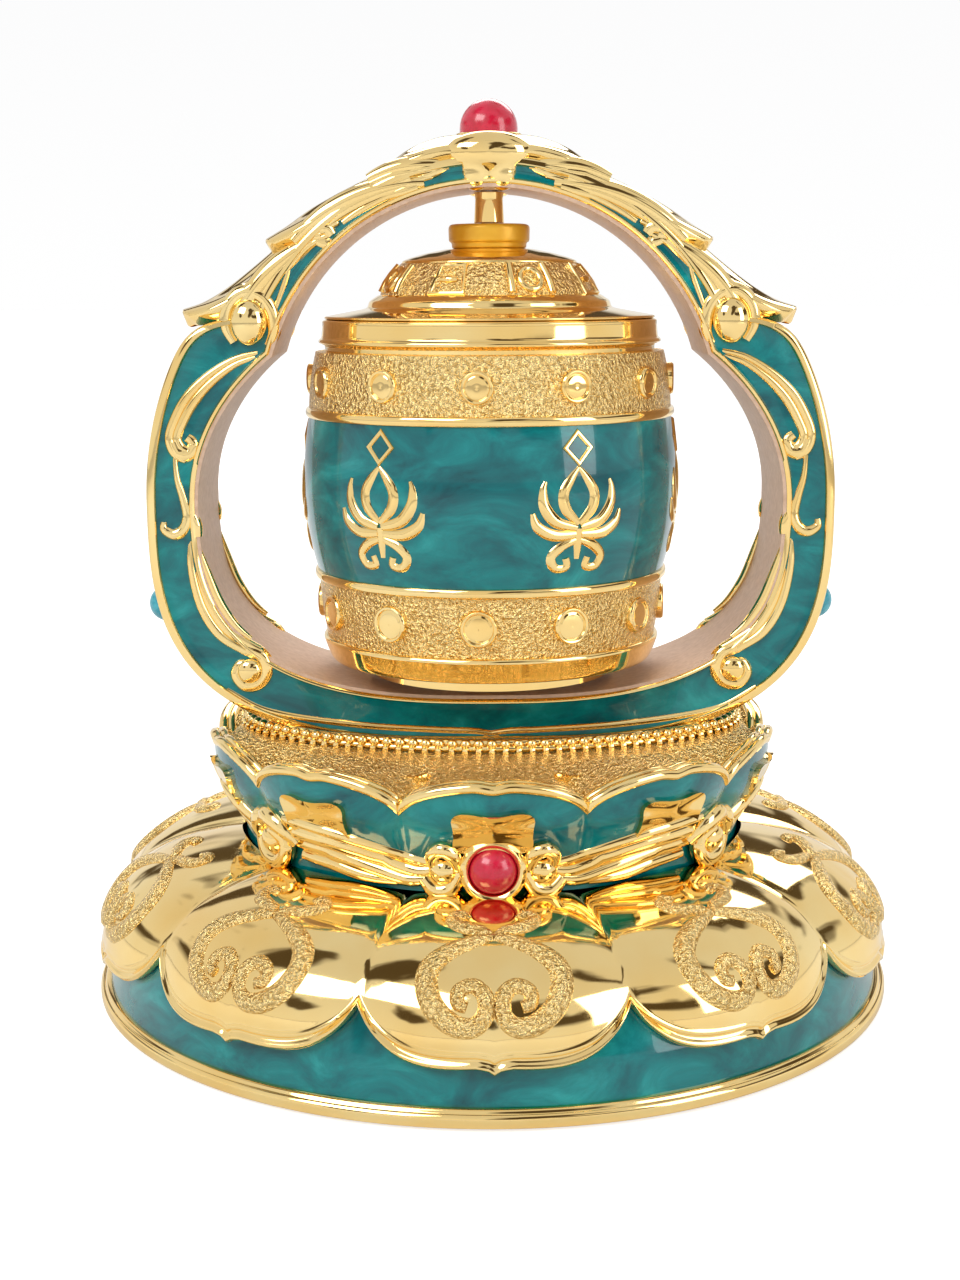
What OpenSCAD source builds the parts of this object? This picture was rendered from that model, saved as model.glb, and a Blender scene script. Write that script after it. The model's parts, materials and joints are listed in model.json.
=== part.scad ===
// Desk prayer wheel: a drum that spins on a fixed axle inside an upright horseshoe arch,
// standing on a waisted lotus foot. +Z is up, the front faces -Y, and the origin is the
// middle of the foot's underside.

/* [Foot] */
// Radius of the round foot rim
foot_r = 48; // [47:0.5:50]
// Height of the top of the foot rim
rim_top = 2.3; // [2:0.1:2.8]
// Thickness of the felt pad
pad_t = 0.8; // [0.6:0.1:1]
// Thickness of the base plate
plate_t = 1.2; // [1:0.1:1.4]
// Number of lotus petals
petals = 10; // [8:1:12]
// Height of a petal's tip
petal_tip_z = 6; // [5:0.5:7]
// Height of the notch between two petals
petal_notch_z = 11.9; // [11:0.1:12.5]

/* [Waist] */
// Height of the deck that the arch stands on
deck_z = 31; // [30.5:0.5:32]
// Radius of the scalloped lip
lip_r = 34.5; // [34:0.1:35]
// Height of the girdle's centre line
girdle_z = 22.6; // [22:0.2:23]
// Radius of the red girdle stones
stone_r = 2.66; // [2.4:0.02:2.9]

/* [Arch] */
// Depth of the arch from front to back
arch_depth = 18.2; // [17:0.2:19]
// Half width of the opening
open_w = 33.6; // [33:0.1:34]
// Height of the opening's widest place
open_z = 59.5; // [59:0.1:60]
// Drop from there to the bottom of the opening
open_drop = 22.7; // [22.5:0.1:23]
// Inner radius of the round top
top_r = 25.7; // [25.4:0.1:26]
// Height of the round top's centre
top_z = 69.1; // [68.8:0.1:69.4]
// Half width over the outside
outer_w = 39.6; // [39.2:0.1:40]
// Width of the raised rims
arch_rim_w = 1.3; // [1:0.1:1.6]
// Depth of the enamel
enamel_t = 0.5; // [0.4:0.05:0.6]
// Diameter of the crown bead
crown_bead_d = 6.7; // [6:0.1:7]

/* [Drum] */
// Radius of the drum's enamel band at its fullest
drum_r = 22.1; // [21.8:0.1:22.4]
// Height of the enamel band's lower edge
band_lo = 50.9; // [50.5:0.1:51.3]
// Height of the enamel band's upper edge
band_hi = 69.2; // [68.8:0.1:69.6]
// Number of studs in a row
studs = 12; // [8:2:16]
// Number of ornaments round the enamel band
ornaments = 6; // [4:1:8]
// Turn of the ornaments about the axle, in degrees
drum_turn = -4; // [-15:1:15]
// Radius of the axle
axle_r = 1; // [0.9:0.05:1.1]
// Running clearance of the bushes
run_fit = 0.04; // [0.03:0.01:0.08]

/* [Hidden] */
$fn = 64;

gold = "#d9a520";
enamel = "#1d7f86";
coral = "#b8271c";
turquoise = "#3fb8b4";
steel = "#9a9da1";
satin = "#c9b48e";

stand_z = pad_t + plate_t;     // top of the base plate
plate_r = foot_r - 3.4;
core_r = 26;
screw_r = 1.1;
screw_ring = 21;               // radius of the circle of base screws
screw_count = 3;
petal_step = 360 / petals;
half_d = arch_depth / 2;
arch_screw_x = 12;
arch_n = 60;                   // points round a curved outline
open_rise = 24.6;              // from the widest place up to where the side curve would close
outer_drop = 28.7;
outer_rise = 39.7;
shoulder_z = 80.5;             // where the outer sides meet the crown leaves
band_t = 3.6;                  // thickness of the round top of the arch
collar_z = 77.7;
collar_top = 80.2;
foot_ring_z = 43.2;
drum_bottom = 40.2;
wall_r = 18.4;                 // outside of the drum shell under its bands
shell_t = 1.2;
cap_top = 88.2;
hub_z = 88.9;                  // underside of the hub disc
hub_top = 91;
upper_stud_z = 73.2;
lower_stud_z = 46.6;
ornament_z = 58.6;
lozenge_z = 65.6;
ornament_offset = 30;          // from the first stud to the first ornament, in degrees
cap_marks = 8;
floor_t = 1.4;
bush_r = 2.4;
washer_t = 0.6;
open_bottom = open_z - open_drop;
open_top = top_z + top_r;

// ---- functions ----
function lerp(a, b, t) = a + (b - a) * t;
function bez3(p, t) = let (s = 1 - t)
  s * s * s * p[0] + 3 * s * s * t * p[1] + 3 * s * t * t * p[2] + t * t * t * p[3];
function bez2(p, t) = let (s = 1 - t) s * s * p[0] + 2 * s * t * p[1] + t * t * p[2];
// How far an angle lies from the nearest petal's middle: 0 in the middle, 1 at the notch
function petal_u(a) = abs(a / petal_step - round(a / petal_step)) * 2;
// Cheek of a lobe: round in the middle, creased at the notch
function crease(u) = (1 - sqrt(1 - 0.96 * u * u)) / 0.8;
function super_x(w, n, q) = w * pow(max(0, 1 - pow(q, n)), 1 / n);

// A ring made of sections: rows of [radius, height] all the way round, closed on itself
module lobed_ring(rows, steps) {
  m = len(rows[0]);
  pts = [for (j = [0 : steps - 1]) let (a = 360 * j / steps) for (p = rows[j])
    [p[0] * sin(a), -p[0] * cos(a), p[1]]];
  faces = [for (j = [0 : steps - 1]) let (k = (j + 1) % steps) for (i = [0 : m - 1])
    let (n = (i + 1) % m) each [
      [j * m + i, j * m + n, k * m + n],
      [j * m + i, k * m + n, k * m + i]
    ]];
  polyhedron(points = pts, faces = faces, convexity = 6);
}

// A round bar bent in an arc in the XZ plane
module arc_bar(x, z, r, from, to, bar) {
  translate([x, 0, z]) rotate([90, 0, 0]) rotate([0, 0, from])
    rotate_extrude(angle = to - from) translate([r, 0]) circle(bar, $fn = 24);
}

// Opening of the arch, grown by g: a flattened bowl, ogee shoulders and a round top
module open_outline(g) {
  low = [for (i = [0 : arch_n / 2]) let (s = cos(180 * i / arch_n))
    [super_x(open_w + g, 2.8, s), open_z - (open_drop + g) * s]];
  rise = [for (i = [1 : arch_n / 2 - 1]) let (a = 180 * i / arch_n)
    [(open_w + g) * cos(a), open_z + (open_rise + g) * sin(a)]];
  half = concat(low, rise);
  polygon(concat(half, [[0, open_z + open_rise + g]],
    [for (i = [len(half) - 1 : -1 : 1]) [-half[i][0], half[i][1]]]));
  translate([0, top_z]) circle(top_r + g, $fn = 96);
}

// Outside of the arch, shrunk by g
module outer_outline(g) {
  low = [for (i = [0 : arch_n / 2]) let (s = cos(180 * i / arch_n))
    [super_x(outer_w - g, 3, s), open_z - (outer_drop - g) * s]];
  top_a = asin((shoulder_z - g - open_z) / (outer_rise - g));
  rise = [for (i = [1 : arch_n / 4]) let (a = top_a * i * 4 / arch_n)
    [(outer_w - g) * cos(a), open_z + (outer_rise - g) * sin(a)]];
  half = concat(low, rise);
  polygon(concat(half, [for (i = [len(half) - 1 : -1 : 1]) [-half[i][0], half[i][1]]]));
  translate([0, top_z]) circle(top_r + band_t - g, $fn = 96);
}

// Stand a flat XZ shape up as a plate between two depths
module upright(y0, y1) {
  translate([0, y1, 0]) rotate([90, 0, 0]) linear_extrude(y1 - y0) children();
}

// ---- foot ----
module base_pad() {
  color("#26231f") cylinder(h = pad_t, r = plate_r, $fn = 128);
}

module base_plate() {
  color(steel) difference() {
    translate([0, 0, pad_t]) cylinder(h = plate_t, r = plate_r, $fn = 128);
    for (k = [0 : screw_count - 1]) rotate(k * 360 / screw_count) translate([screw_ring, 0, 0])
      cylinder(h = stand_z + 1, r = screw_r + 0.15);
  }
}

module base_screws() {
  color(steel) for (k = [0 : screw_count - 1]) rotate(k * 360 / screw_count)
    translate([screw_ring, 0, pad_t]) cylinder(h = 8, r = screw_r);
}

module plinth_rim() {
  color(gold) rotate_extrude($fn = 128) polygon([
    [plate_r + 0.05, 0.3], [foot_r - 0.4, 0.3], [foot_r, 0.7], [foot_r, rim_top - 0.4],
    [foot_r - 0.4, rim_top], [plate_r + 0.05, rim_top]]);
}

module plinth_band() {
  color(enamel) rotate_extrude($fn = 128) polygon([
    [foot_r - 3, rim_top], [foot_r - 0.9, rim_top], [foot_r - 5.6, petal_notch_z + 0.6],
    [foot_r - 8, petal_notch_z + 0.6]]);
}

// Section of the petal skirt where u runs from a petal's middle to the notch
function skirt_mid(t) = bez3([[47.9, petal_tip_z], [48.6, 12], [44, 19], [31, 20]], t);
function skirt_notch(t) = bez3([[44.6, petal_notch_z], [43.6, 15], [38, 18.5], [31, 18.6]], t);
function skirt_at(t, u) = lerp(skirt_mid(t), skirt_notch(t), crease(u));
function skirt_section(u) = let (n = 8) concat(
  [for (i = [0 : n]) skirt_at(i / n, u)],
  [for (i = [n : -1 : 0]) skirt_at(i / n, u) - [1.3, i == 0 ? 0 : 1.1 * i / n]]);

module lotus_skirt() {
  color(gold) lobed_ring([for (j = [0 : petals * 10 - 1])
    skirt_section(petal_u(j * 36 / petals))], petals * 10);
}

// Two curls that meet at the top of each petal, as one raised plate
module petal_scrolls() {
  color(gold) for (k = [0 : petals - 1]) rotate(k * petal_step)
    translate([0, -45.2, 13.4]) rotate([62, 0, 0]) linear_extrude(1.2) difference() {
      for (s = [-1, 1]) translate([s * 3.2, 0]) circle(3.8, $fn = 48);
      for (s = [-1, 1]) translate([s * 3.2, 0]) circle(2.8, $fn = 48);
    }
}

module pedestal_core() {
  color(gold) difference() {
    translate([0, 0, stand_z]) cylinder(h = deck_z - stand_z, r = core_r, $fn = 96);
    for (k = [0 : screw_count - 1]) rotate(k * 360 / screw_count) translate([screw_ring, 0, 0])
      cylinder(h = pad_t + 8, r = screw_r);
    for (s = [-1, 1]) translate([s * arch_screw_x, 0, 0]) {
      cylinder(h = deck_z + 1, r = 1.6);
      cylinder(h = 20, r = 3.2);
    }
  }
}

// ---- waist ----
function waist_r(t, u) = bez2([30.6, 29.4, 32.4], t) - 1.6 * crease(u) * sin(180 * min(1, t + 0.15));
function waist_section(u) = let (n = 5, low = 20.2, top = lip_z(u) - 2.8) concat(
  [for (i = [0 : n]) [waist_r(i / n, u), lerp(low, top, i / n)]],
  [[core_r + 0.1, deck_z - 1.6], [core_r + 0.1, low]]);

module waist_body() {
  color(enamel) lobed_ring([for (j = [0 : petals * 8 - 1])
    waist_section(petal_u(j * 45 / petals))], petals * 8);
}

// Lip height and radius, from a lobe's middle (u = 0) to the notch between lobes
function lip_z(u) = deck_z + 1.4 - 3 * crease(u);
function lip_edge(u) = lip_r - 1.4 * crease(u);
function lip_section(u) = let (r = lip_edge(u), z = lip_z(u)) [
  [r - 2.2, z - 1.6], [r - 0.5, z - 1.3], [r, z - 0.6], [r - 0.4, z], [r - 2.2, z - 0.3]];

module waist_lip() {
  color(gold) lobed_ring([for (j = [0 : petals * 10 - 1])
    lip_section(petal_u(j * 36 / petals))], petals * 10);
}

// Fluted deck between the lip and the bead border
function deck_in(a) = 1 / sqrt(pow(sin(a) / 28.6, 2) + pow(cos(a) / 16.9, 2));
function deck_section(a) = let (u = petal_u(a), r = lip_edge(u) - 2.3, z = lip_z(u)) [
  [r, z - 1.5], [r, z - 0.3], [lerp(r, deck_in(a), 0.5), deck_z + 0.5], [deck_in(a), deck_z + 0.6],
  [deck_in(a), deck_z + 0.05], [max(core_r, deck_in(a)) + 0.1, deck_z + 0.05]];

module waist_deck() {
  color(gold) lobed_ring([for (j = [0 : petals * 8 - 1]) let (a = j * 45 / petals)
    deck_section(a)], petals * 8);
}

// A point on the oval bead border
function oval(a, g) = [(29.4 + g) * sin(a), -(17.7 + g) * cos(a)];

module bead_border() {
  color(gold) translate([0, 0, deck_z + 0.6]) difference() {
    linear_extrude(1) polygon([for (a = [0 : 5 : 355]) oval(a, 0.6)]);
    translate([0, 0, -1]) linear_extrude(3) polygon([for (a = [0 : 5 : 355]) oval(a, -0.6)]);
  }
}

module waist_plaques() {
  color(gold) for (k = [0 : petals - 1]) rotate(k * petal_step)
    translate([0, -waist_r(0.8, 0) + 0.4, 28]) rotate([80, 0, 0]) linear_extrude(0.9) polygon([
      [-4.6, 1.8], [-2, 1], [0, 1.3], [2, 1], [4.6, 1.8], [3.4, 0], [1.2, -1.2], [0, -2],
      [-1.2, -1.2], [-3.4, 0]]);
}

girdle_r = waist_r(0.25, 0) + 0.1;
girdle_faces = [0, 180];
module girdle_scrolls() {
  color(gold) for (f = girdle_faces) rotate(f) for (s = [-1, 1]) {
    rotate(-90 + s * 31) rotate([0, 0, -20]) rotate_extrude(angle = 40)
      translate([girdle_r + 0.2, girdle_z]) circle(1.1, $fn = 24);
    rotate(s * 52) translate([0, -girdle_r - 0.8, girdle_z + 0.4]) rotate([90, 0, 0])
      rotate_extrude() translate([1.9, 0]) circle(0.8, $fn = 24);
    rotate(s * 9) translate([0, -girdle_r - 0.8, girdle_z - 0.2]) rotate([90, 0, 0])
      rotate_extrude() translate([0.8, 0]) circle(0.6, $fn = 24);
  }
  color(gold) for (f = [90, 270]) rotate(f) for (s = [-1, 1]) rotate(s * 12)
    translate([0, -girdle_r - 0.6, girdle_z + 0.6]) rotate([90, 0, 0])
      rotate_extrude() translate([1.9, 0]) circle(0.8, $fn = 24);
}

module girdle_bezels() {
  color(gold) for (f = girdle_faces) rotate(f) translate([0, -girdle_r + 0.8, girdle_z])
    rotate([90, 0, 0]) difference() {
      cylinder(h = 3.2, r = stone_r + 0.6);
      translate([0, 0, 2.4]) cylinder(h = 2, r = stone_r + 0.05);
    }
}

module girdle_stones() {
  color(coral) for (f = girdle_faces) rotate(f) translate([0, -girdle_r - 1.6, girdle_z])
    rotate([90, 0, 0]) intersection() {
      translate([0, 0, -1]) sphere(sqrt(stone_r * stone_r + 1));
      cylinder(h = 4, r = stone_r);
    }
}

// ---- arch ----
module arch_foot_cut() {
  translate([-50, deck_z - 40]) square([100, 40]);
}

module arch_frame() {
  color(gold) difference() {
    upright(-half_d, half_d) difference() {
      outer_outline(0);
      open_outline(0.5);
      arch_foot_cut();
    }
    for (s = [0, 1]) rotate(s * 180) translate([0, -half_d - 1, 0]) upright(0, enamel_t + 1)
      difference() {
        outer_outline(arch_rim_w);
        open_outline(0.5 + arch_rim_w);
        translate([-50, deck_z - 38]) square([100, 40]);
      }
    for (s = [-1, 1]) translate([s * arch_screw_x, 0, 0]) cylinder(h = deck_z + 3.5, r = 1.1);
    cylinder(h = open_bottom - 1, r = axle_r);
    translate([0, 0, open_bottom - 3.5]) cylinder(h = 5, r = axle_r);
    translate([0, 0, open_top - 1]) cylinder(h = 3.5, r = axle_r);
    for (s = [-1, 1]) flank(s, enamel_t + 0.02, half_d - arch_rim_w);
  }
}

// Strip along one outer flank: t thick and hd half deep
module flank(s, t, hd) {
  upright(-hd, hd) intersection() {
    difference() {
      outer_outline(-0.01);
      outer_outline(t);
    }
    translate([s > 0 ? 20 : -60, deck_z + 8]) square([40, shoulder_z - deck_z - 12]);
  }
}

module arch_liner() {
  color(satin) difference() {
    upright(-half_d + 0.6, half_d - 0.6) difference() {
      open_outline(0.5);
      open_outline(0);
    }
    cylinder(h = 200, r = axle_r);
  }
}

module arch_enamel(side) {
  color(enamel) rotate(side > 0 ? 180 : 0) translate([0, -half_d + 0.1, 0])
    upright(0, enamel_t - 0.12) difference() {
      outer_outline(arch_rim_w + 0.02);
      open_outline(0.52 + arch_rim_w);
      translate([-50, deck_z - 38]) square([100, 40.02]);
    }
}

module arch_enamel_front() {
  arch_enamel(-1);
}

module arch_enamel_back() {
  arch_enamel(1);
}

module arch_flank_left() {
  color(enamel) flank(-1, enamel_t, half_d - arch_rim_w - 0.02);
}

module arch_flank_right() {
  color(enamel) flank(1, enamel_t, half_d - arch_rim_w - 0.02);
}

// Scroll work on one face of the arch, mirrored left and right
module arch_scrolls(side) {
  color(gold) rotate(side > 0 ? 180 : 0) translate([0, -half_d + 0.1, 0])
    for (s = [0, 1]) mirror([s, 0, 0]) {
      arc_bar(-26.8, 79.2, 1.6, 0, 360, 0.5);
      arc_bar(-20.6, 58.6, 16, 118, 186, 0.45);
      arc_bar(-35.6, 66.4, 1.3, -60, 210, 0.45);
      arc_bar(-36.6, 56.6, 1.1, 60, 330, 0.45);
      arc_bar(-2, 62.2, 33.6, 192, 219, 0.5);
      arc_bar(-28.6, 39.9, 1.9, 0, 360, 0.5);
    }
}

module arch_scrolls_front() {
  arch_scrolls(-1);
}

module arch_scrolls_back() {
  arch_scrolls(1);
}

// One crown leaf: its two sides leave the round top and curl out to a tip. The lowest leaf
// stands on the shoulder
module leaf(from, to, tip) {
  r = top_r + band_t + 0.02;
  c = [0, top_z];
  a = c + r * [sin(from), cos(from)];
  b = c + r * [sin(to), cos(to)];
  up = c + (r + 4) * [sin(lerp(from, to, 0.15)), cos(lerp(from, to, 0.15))];
  dn = c + (r + 0.4) * [sin(to), cos(to)];
  polygon(concat(
    [for (i = [0 : 8]) bez2([a, up, tip], i / 8)],
    [for (i = [1 : 8]) bez2([tip, dn, b], i / 8)],
    [for (i = [1 : 5]) c + r * [sin(lerp(to, from, i / 6)), cos(lerp(to, from, i / 6))]]));
}

leaf_d = half_d - 0.6;
module crown_leaves() {
  color(gold) upright(-leaf_d, leaf_d) {
    leaf(9, 27, [13.3, 98.6]);
    leaf(27.5, 48, [25.6, 91.2]);
    difference() {
      leaf(48.5, 70, [34.9, 82.4]);
      translate([20, 0]) square([20, shoulder_z + 0.02]);
    }
  }
}

module crown_leaves_right() {
  crown_leaves();
}

module crown_leaves_left() {
  mirror([1, 0, 0]) crown_leaves();
}

boss_z = top_z + top_r + band_t;
module crown_boss() {
  color(gold) upright(-leaf_d, leaf_d) difference() {
    union() {
      for (s = [-1, 1]) translate([s * 2.2, boss_z + 0.2]) circle(2);
      translate([0, boss_z + 0.6]) circle(1.9);
    }
    translate([0, top_z]) circle(top_r + band_t + 0.02, $fn = 96);
  }
}

cup_z = boss_z + 2.3;
module crown_cup() {
  color(gold) translate([0, 0, cup_z - 0.2]) difference() {
    cylinder(h = 1.2, r = crown_bead_d / 2 + 0.5);
    translate([0, 0, 0.4]) cylinder(h = 2, r = crown_bead_d / 2 + 0.05);
  }
}

module crown_bead() {
  color(coral) translate([0, 0, cup_z + 0.2]) {
    cylinder(h = 0.9, r = crown_bead_d / 2);
    translate([0, 0, 0.9]) intersection() {
      sphere(crown_bead_d / 2);
      cylinder(h = 4, r = crown_bead_d);
    }
  }
}

side_bead_z = 46.5;
side_bead_x = super_x(outer_w, 3, (open_z - side_bead_z) / outer_drop) - 0.3;
module side_cups() {
  color(gold) for (s = [-1, 1]) translate([s * side_bead_x, 0, side_bead_z]) rotate([0, s * 90, 0])
    difference() {
      cylinder(h = 1.6, r = 2.5);
      translate([0, 0, 1.1]) cylinder(h = 2, r = 2.05);
    }
}

module side_beads() {
  color(turquoise) for (s = [-1, 1]) translate([s * (side_bead_x + 1.1), 0, side_bead_z])
    rotate([0, s * 90, 0]) intersection() {
      sphere(2);
      cylinder(h = 2, r = 3);
    }
}

module arch_screws() {
  color(steel) for (s = [-1, 1]) translate([s * arch_screw_x, 0, 0]) {
    translate([0, 0, 18.5]) cylinder(h = 1.5, r = 2.4);
    translate([0, 0, 20]) cylinder(h = deck_z + 3 - 20, r = 1.1);
  }
}

// ---- axle ----
module axle() {
  color(steel) translate([0, 0, open_bottom - 3.4])
    cylinder(h = open_top - open_bottom + 5.6, r = axle_r);
}

module top_spacer() {
  color(gold) difference() {
    translate([0, 0, hub_top + 0.15]) cylinder(h = open_top - hub_top - 0.25, r = 1.7);
    cylinder(h = 120, r = axle_r);
  }
}

module thrust_washer() {
  color("#c9a04a") difference() {
    translate([0, 0, open_bottom + 0.02]) cylinder(h = drum_bottom - 2 - open_bottom - 0.1, r = 3.2);
    cylinder(h = 120, r = axle_r);
  }
}

// ---- drum ----
function band_r(z) = let (t = (z - band_lo) / (band_hi - band_lo))
  drum_r - 1.5 * pow(max(0, 0.55 - t) / 0.55, 2) - 0.75 * pow(max(0, t - 0.55) / 0.45, 2);
upper_lo = band_hi + 0.6;
lower_hi = band_lo - 0.6;
lower_lo = foot_ring_z;

// A turned ring: outer profile points, down to a straight bore
module turned(bore, profile) {
  rotate_extrude($fn = 128) polygon(concat(profile,
    [[bore, profile[len(profile) - 1][1]], [bore, profile[0][1]]]));
}

module drum_shell() {
  color(gold) turned(wall_r - shell_t, [[wall_r, drum_bottom + floor_t], [wall_r, collar_z]]);
}

module drum_floor() {
  color(gold) difference() {
    union() {
      translate([0, 0, drum_bottom]) cylinder(h = floor_t, r = wall_r, $fn = 128);
      translate([0, 0, drum_bottom - 1.8]) cylinder(h = 1.8, r = 14.4, $fn = 128);
    }
    cylinder(h = 60, r = bush_r);
  }
}

module drum_collar() {
  color(gold) turned(wall_r + 0.02, [[20.1, collar_z - 1.2], [20.1, collar_z], [19.8, collar_z + 0.6],
    [19.6, collar_top - 0.3], [19.3, collar_top]]);
}

module upper_band() {
  color(gold) turned(wall_r + 0.02, [[band_r(band_hi), upper_lo], [21, 72], [20.3, collar_z - 1.6],
    [19.6, collar_z - 1.25]]);
}

module lower_band() {
  color(gold) turned(wall_r + 0.02, [[19.6, lower_lo + 0.02], [20.2, 46], [20.5, lower_hi]]);
}

module foot_ring() {
  color(gold) turned(wall_r + 0.02, [[19.2, drum_bottom], [19.9, drum_bottom + 1], [20, lower_lo - 0.6],
    [19.6, lower_lo]]);
}

module enamel_band() {
  color(enamel) turned(wall_r + 0.02, [for (i = [0 : 8]) let (z = lerp(band_lo, band_hi, i / 8))
    [band_r(z), z]]);
}

module trim_ring(z, r) {
  turned(wall_r + 0.02, [[r, z - 0.28], [r + 0.5, z - 0.1], [r + 0.5, z + 0.1], [r, z + 0.28]]);
}

module upper_trim() {
  color(gold) trim_ring(band_hi + 0.3, band_r(band_hi));
}

module lower_trim() {
  color(gold) trim_ring(band_lo - 0.3, band_r(band_lo));
}

// A row of round studs with sunk middles
module stud_row(z, r, size) {
  color(gold) for (k = [0 : studs - 1]) rotate(drum_turn + k * 360 / studs)
    translate([0, -r + 0.5, z]) rotate([90, 0, 0]) difference() {
      cylinder(h = 1.1, r = size, $fn = 32);
      translate([0, 0, 0.8]) cylinder(h = 1, r = size - 0.5, $fn = 32);
    }
}

module upper_studs() {
  stud_row(upper_stud_z, 20.8, 1.85);
}

module lower_studs() {
  stud_row(lower_stud_z, 20.2, 2);
}

module drum_ornaments() {
  color(gold) for (k = [0 : ornaments - 1]) rotate(drum_turn + ornament_offset + k * 360 / ornaments) {
    translate([0, -drum_r + 0.6, ornament_z]) rotate([90, 0, 0]) linear_extrude(0.9) difference() {
      circle(4.2, $fn = 48);
      circle(3.2, $fn = 48);
    }
    translate([0, -drum_r + 0.6, ornament_z]) rotate([90, 0, 0]) linear_extrude(0.9)
      for (q = [0 : 3]) rotate(q * 90) translate([1.6, 0]) circle(1.1, $fn = 32);
  }
}

module drum_lozenges() {
  color(gold) for (k = [0 : ornaments - 1]) rotate(drum_turn + ornament_offset + k * 360 / ornaments)
    translate([0, -drum_r + 0.9, lozenge_z]) rotate([90, 0, 0]) linear_extrude(0.8) difference() {
      rotate(45) square(2.6, center = true);
      rotate(45) square(1.2, center = true);
    }
}

// Cap: sloped flange, smooth ring, cone with relief and a shoulder under the hub
module drum_cap() {
  color(gold) rotate_extrude($fn = 128) polygon([
    [bush_r + 0.8, 86.6], [bush_r + 0.8, cap_top], [4.5, cap_top], [7.4, 87.7], [9.2, 87.1],
    [10.1, 86.7], [12.85, 83], [13.6, 82.5], [13.9, 81.9], [14.3, 81.4], [19.2, 80.6], [19.2, collar_top + 0.02],
    [13.2, collar_top + 0.3], [12, 81.9], [9.2, 85.4]]);
}

module cap_ornaments() {
  color(gold) for (k = [0 : cap_marks - 1]) rotate(k * 360 / cap_marks + 10)
    translate([0, -11.2, 85.1]) rotate([52, 0, 0]) difference() {
      cylinder(h = 0.7, r = 1.1, $fn = 24);
      translate([0, 0, 0.4]) cylinder(h = 1, r = 0.6, $fn = 24);
    }
}

module cap_hub() {
  color(gold) difference() {
    union() {
      translate([0, 0, cap_top + 0.02]) cylinder(h = hub_z - cap_top, r = 4.4);
      translate([0, 0, hub_z]) cylinder(h = hub_top - hub_z, r = 4.65);
    }
    cylinder(h = 120, r = bush_r);
  }
}

module bush(z0, z1) {
  color("#b98a3a") difference() {
    translate([0, 0, z0]) cylinder(h = z1 - z0, r = bush_r);
    cylinder(h = 120, r = axle_r + run_fit);
  }
}

module upper_bush() {
  bush(86.6, hub_top);
}

module lower_bush() {
  bush(drum_bottom - 1.8, drum_bottom + 3);
}

module scroll_core() {
  color("#b99b6b") turned(3.2, [[4, drum_bottom + floor_t + 0.1], [4, 79]]);
}

module prayer_scroll() {
  color("#e9dcc0") turned(4.02, [[15.5, drum_bottom + floor_t + 0.3], [15.5, 77]]);
}

base_pad();
base_plate();
base_screws();
plinth_rim();
plinth_band();
lotus_skirt();
petal_scrolls();
pedestal_core();
waist_body();
waist_lip();
waist_deck();
bead_border();
waist_plaques();
girdle_scrolls();
girdle_bezels();
girdle_stones();
arch_frame();
arch_liner();
arch_enamel_front();
arch_enamel_back();
arch_flank_left();
arch_flank_right();
arch_scrolls_front();
arch_scrolls_back();
crown_leaves_left();
crown_leaves_right();
crown_boss();
crown_cup();
crown_bead();
side_cups();
side_beads();
arch_screws();
axle();
top_spacer();
thrust_washer();
drum_shell();
drum_collar();
upper_band();
lower_band();
upper_studs();
lower_studs();
enamel_band();
upper_trim();
lower_trim();
foot_ring();
drum_ornaments();
drum_lozenges();
drum_cap();
cap_ornaments();
cap_hub();
drum_floor();
upper_bush();
lower_bush();
scroll_core();
prayer_scroll();
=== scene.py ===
# %% [markdown]
# A desk prayer wheel, built on top of its packed working model. The working model fixes every
# size and every moving part. The pieces here carry the looks, and each stands exactly where its
# plain counterpart stands. Lengths inside the formulas are in millimetres, as on a maker's
# drawing, and one last step turns them into metres.

# %% Frame
import json
import math

import bmesh
import bpy
from mathutils import Matrix, Vector


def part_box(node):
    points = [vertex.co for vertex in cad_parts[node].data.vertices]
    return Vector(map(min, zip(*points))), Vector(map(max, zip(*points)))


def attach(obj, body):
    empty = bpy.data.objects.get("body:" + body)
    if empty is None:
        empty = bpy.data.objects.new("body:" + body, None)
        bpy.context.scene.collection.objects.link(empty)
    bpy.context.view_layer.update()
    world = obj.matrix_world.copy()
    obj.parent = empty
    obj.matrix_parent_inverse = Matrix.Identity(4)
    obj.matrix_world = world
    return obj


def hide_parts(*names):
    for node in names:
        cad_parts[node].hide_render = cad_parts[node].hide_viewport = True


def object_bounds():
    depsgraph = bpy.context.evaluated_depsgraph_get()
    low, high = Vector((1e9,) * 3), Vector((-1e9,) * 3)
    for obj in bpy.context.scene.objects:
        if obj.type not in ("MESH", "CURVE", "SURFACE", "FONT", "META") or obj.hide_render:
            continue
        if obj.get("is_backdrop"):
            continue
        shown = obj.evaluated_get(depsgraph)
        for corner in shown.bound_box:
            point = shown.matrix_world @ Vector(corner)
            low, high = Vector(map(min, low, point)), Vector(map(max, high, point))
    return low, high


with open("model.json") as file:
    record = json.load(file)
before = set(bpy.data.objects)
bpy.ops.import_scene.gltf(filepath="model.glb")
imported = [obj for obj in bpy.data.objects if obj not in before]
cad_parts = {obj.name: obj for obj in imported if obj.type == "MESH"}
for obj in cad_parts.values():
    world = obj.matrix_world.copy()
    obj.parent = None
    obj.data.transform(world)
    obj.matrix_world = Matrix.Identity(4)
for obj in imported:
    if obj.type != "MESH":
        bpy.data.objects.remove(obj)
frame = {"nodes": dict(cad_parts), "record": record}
cad_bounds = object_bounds()
MM = 0.001

# %% Driving sizes, read from the working model
def size_of(node):
    low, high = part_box(node)
    return low / MM, high / MM


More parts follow.
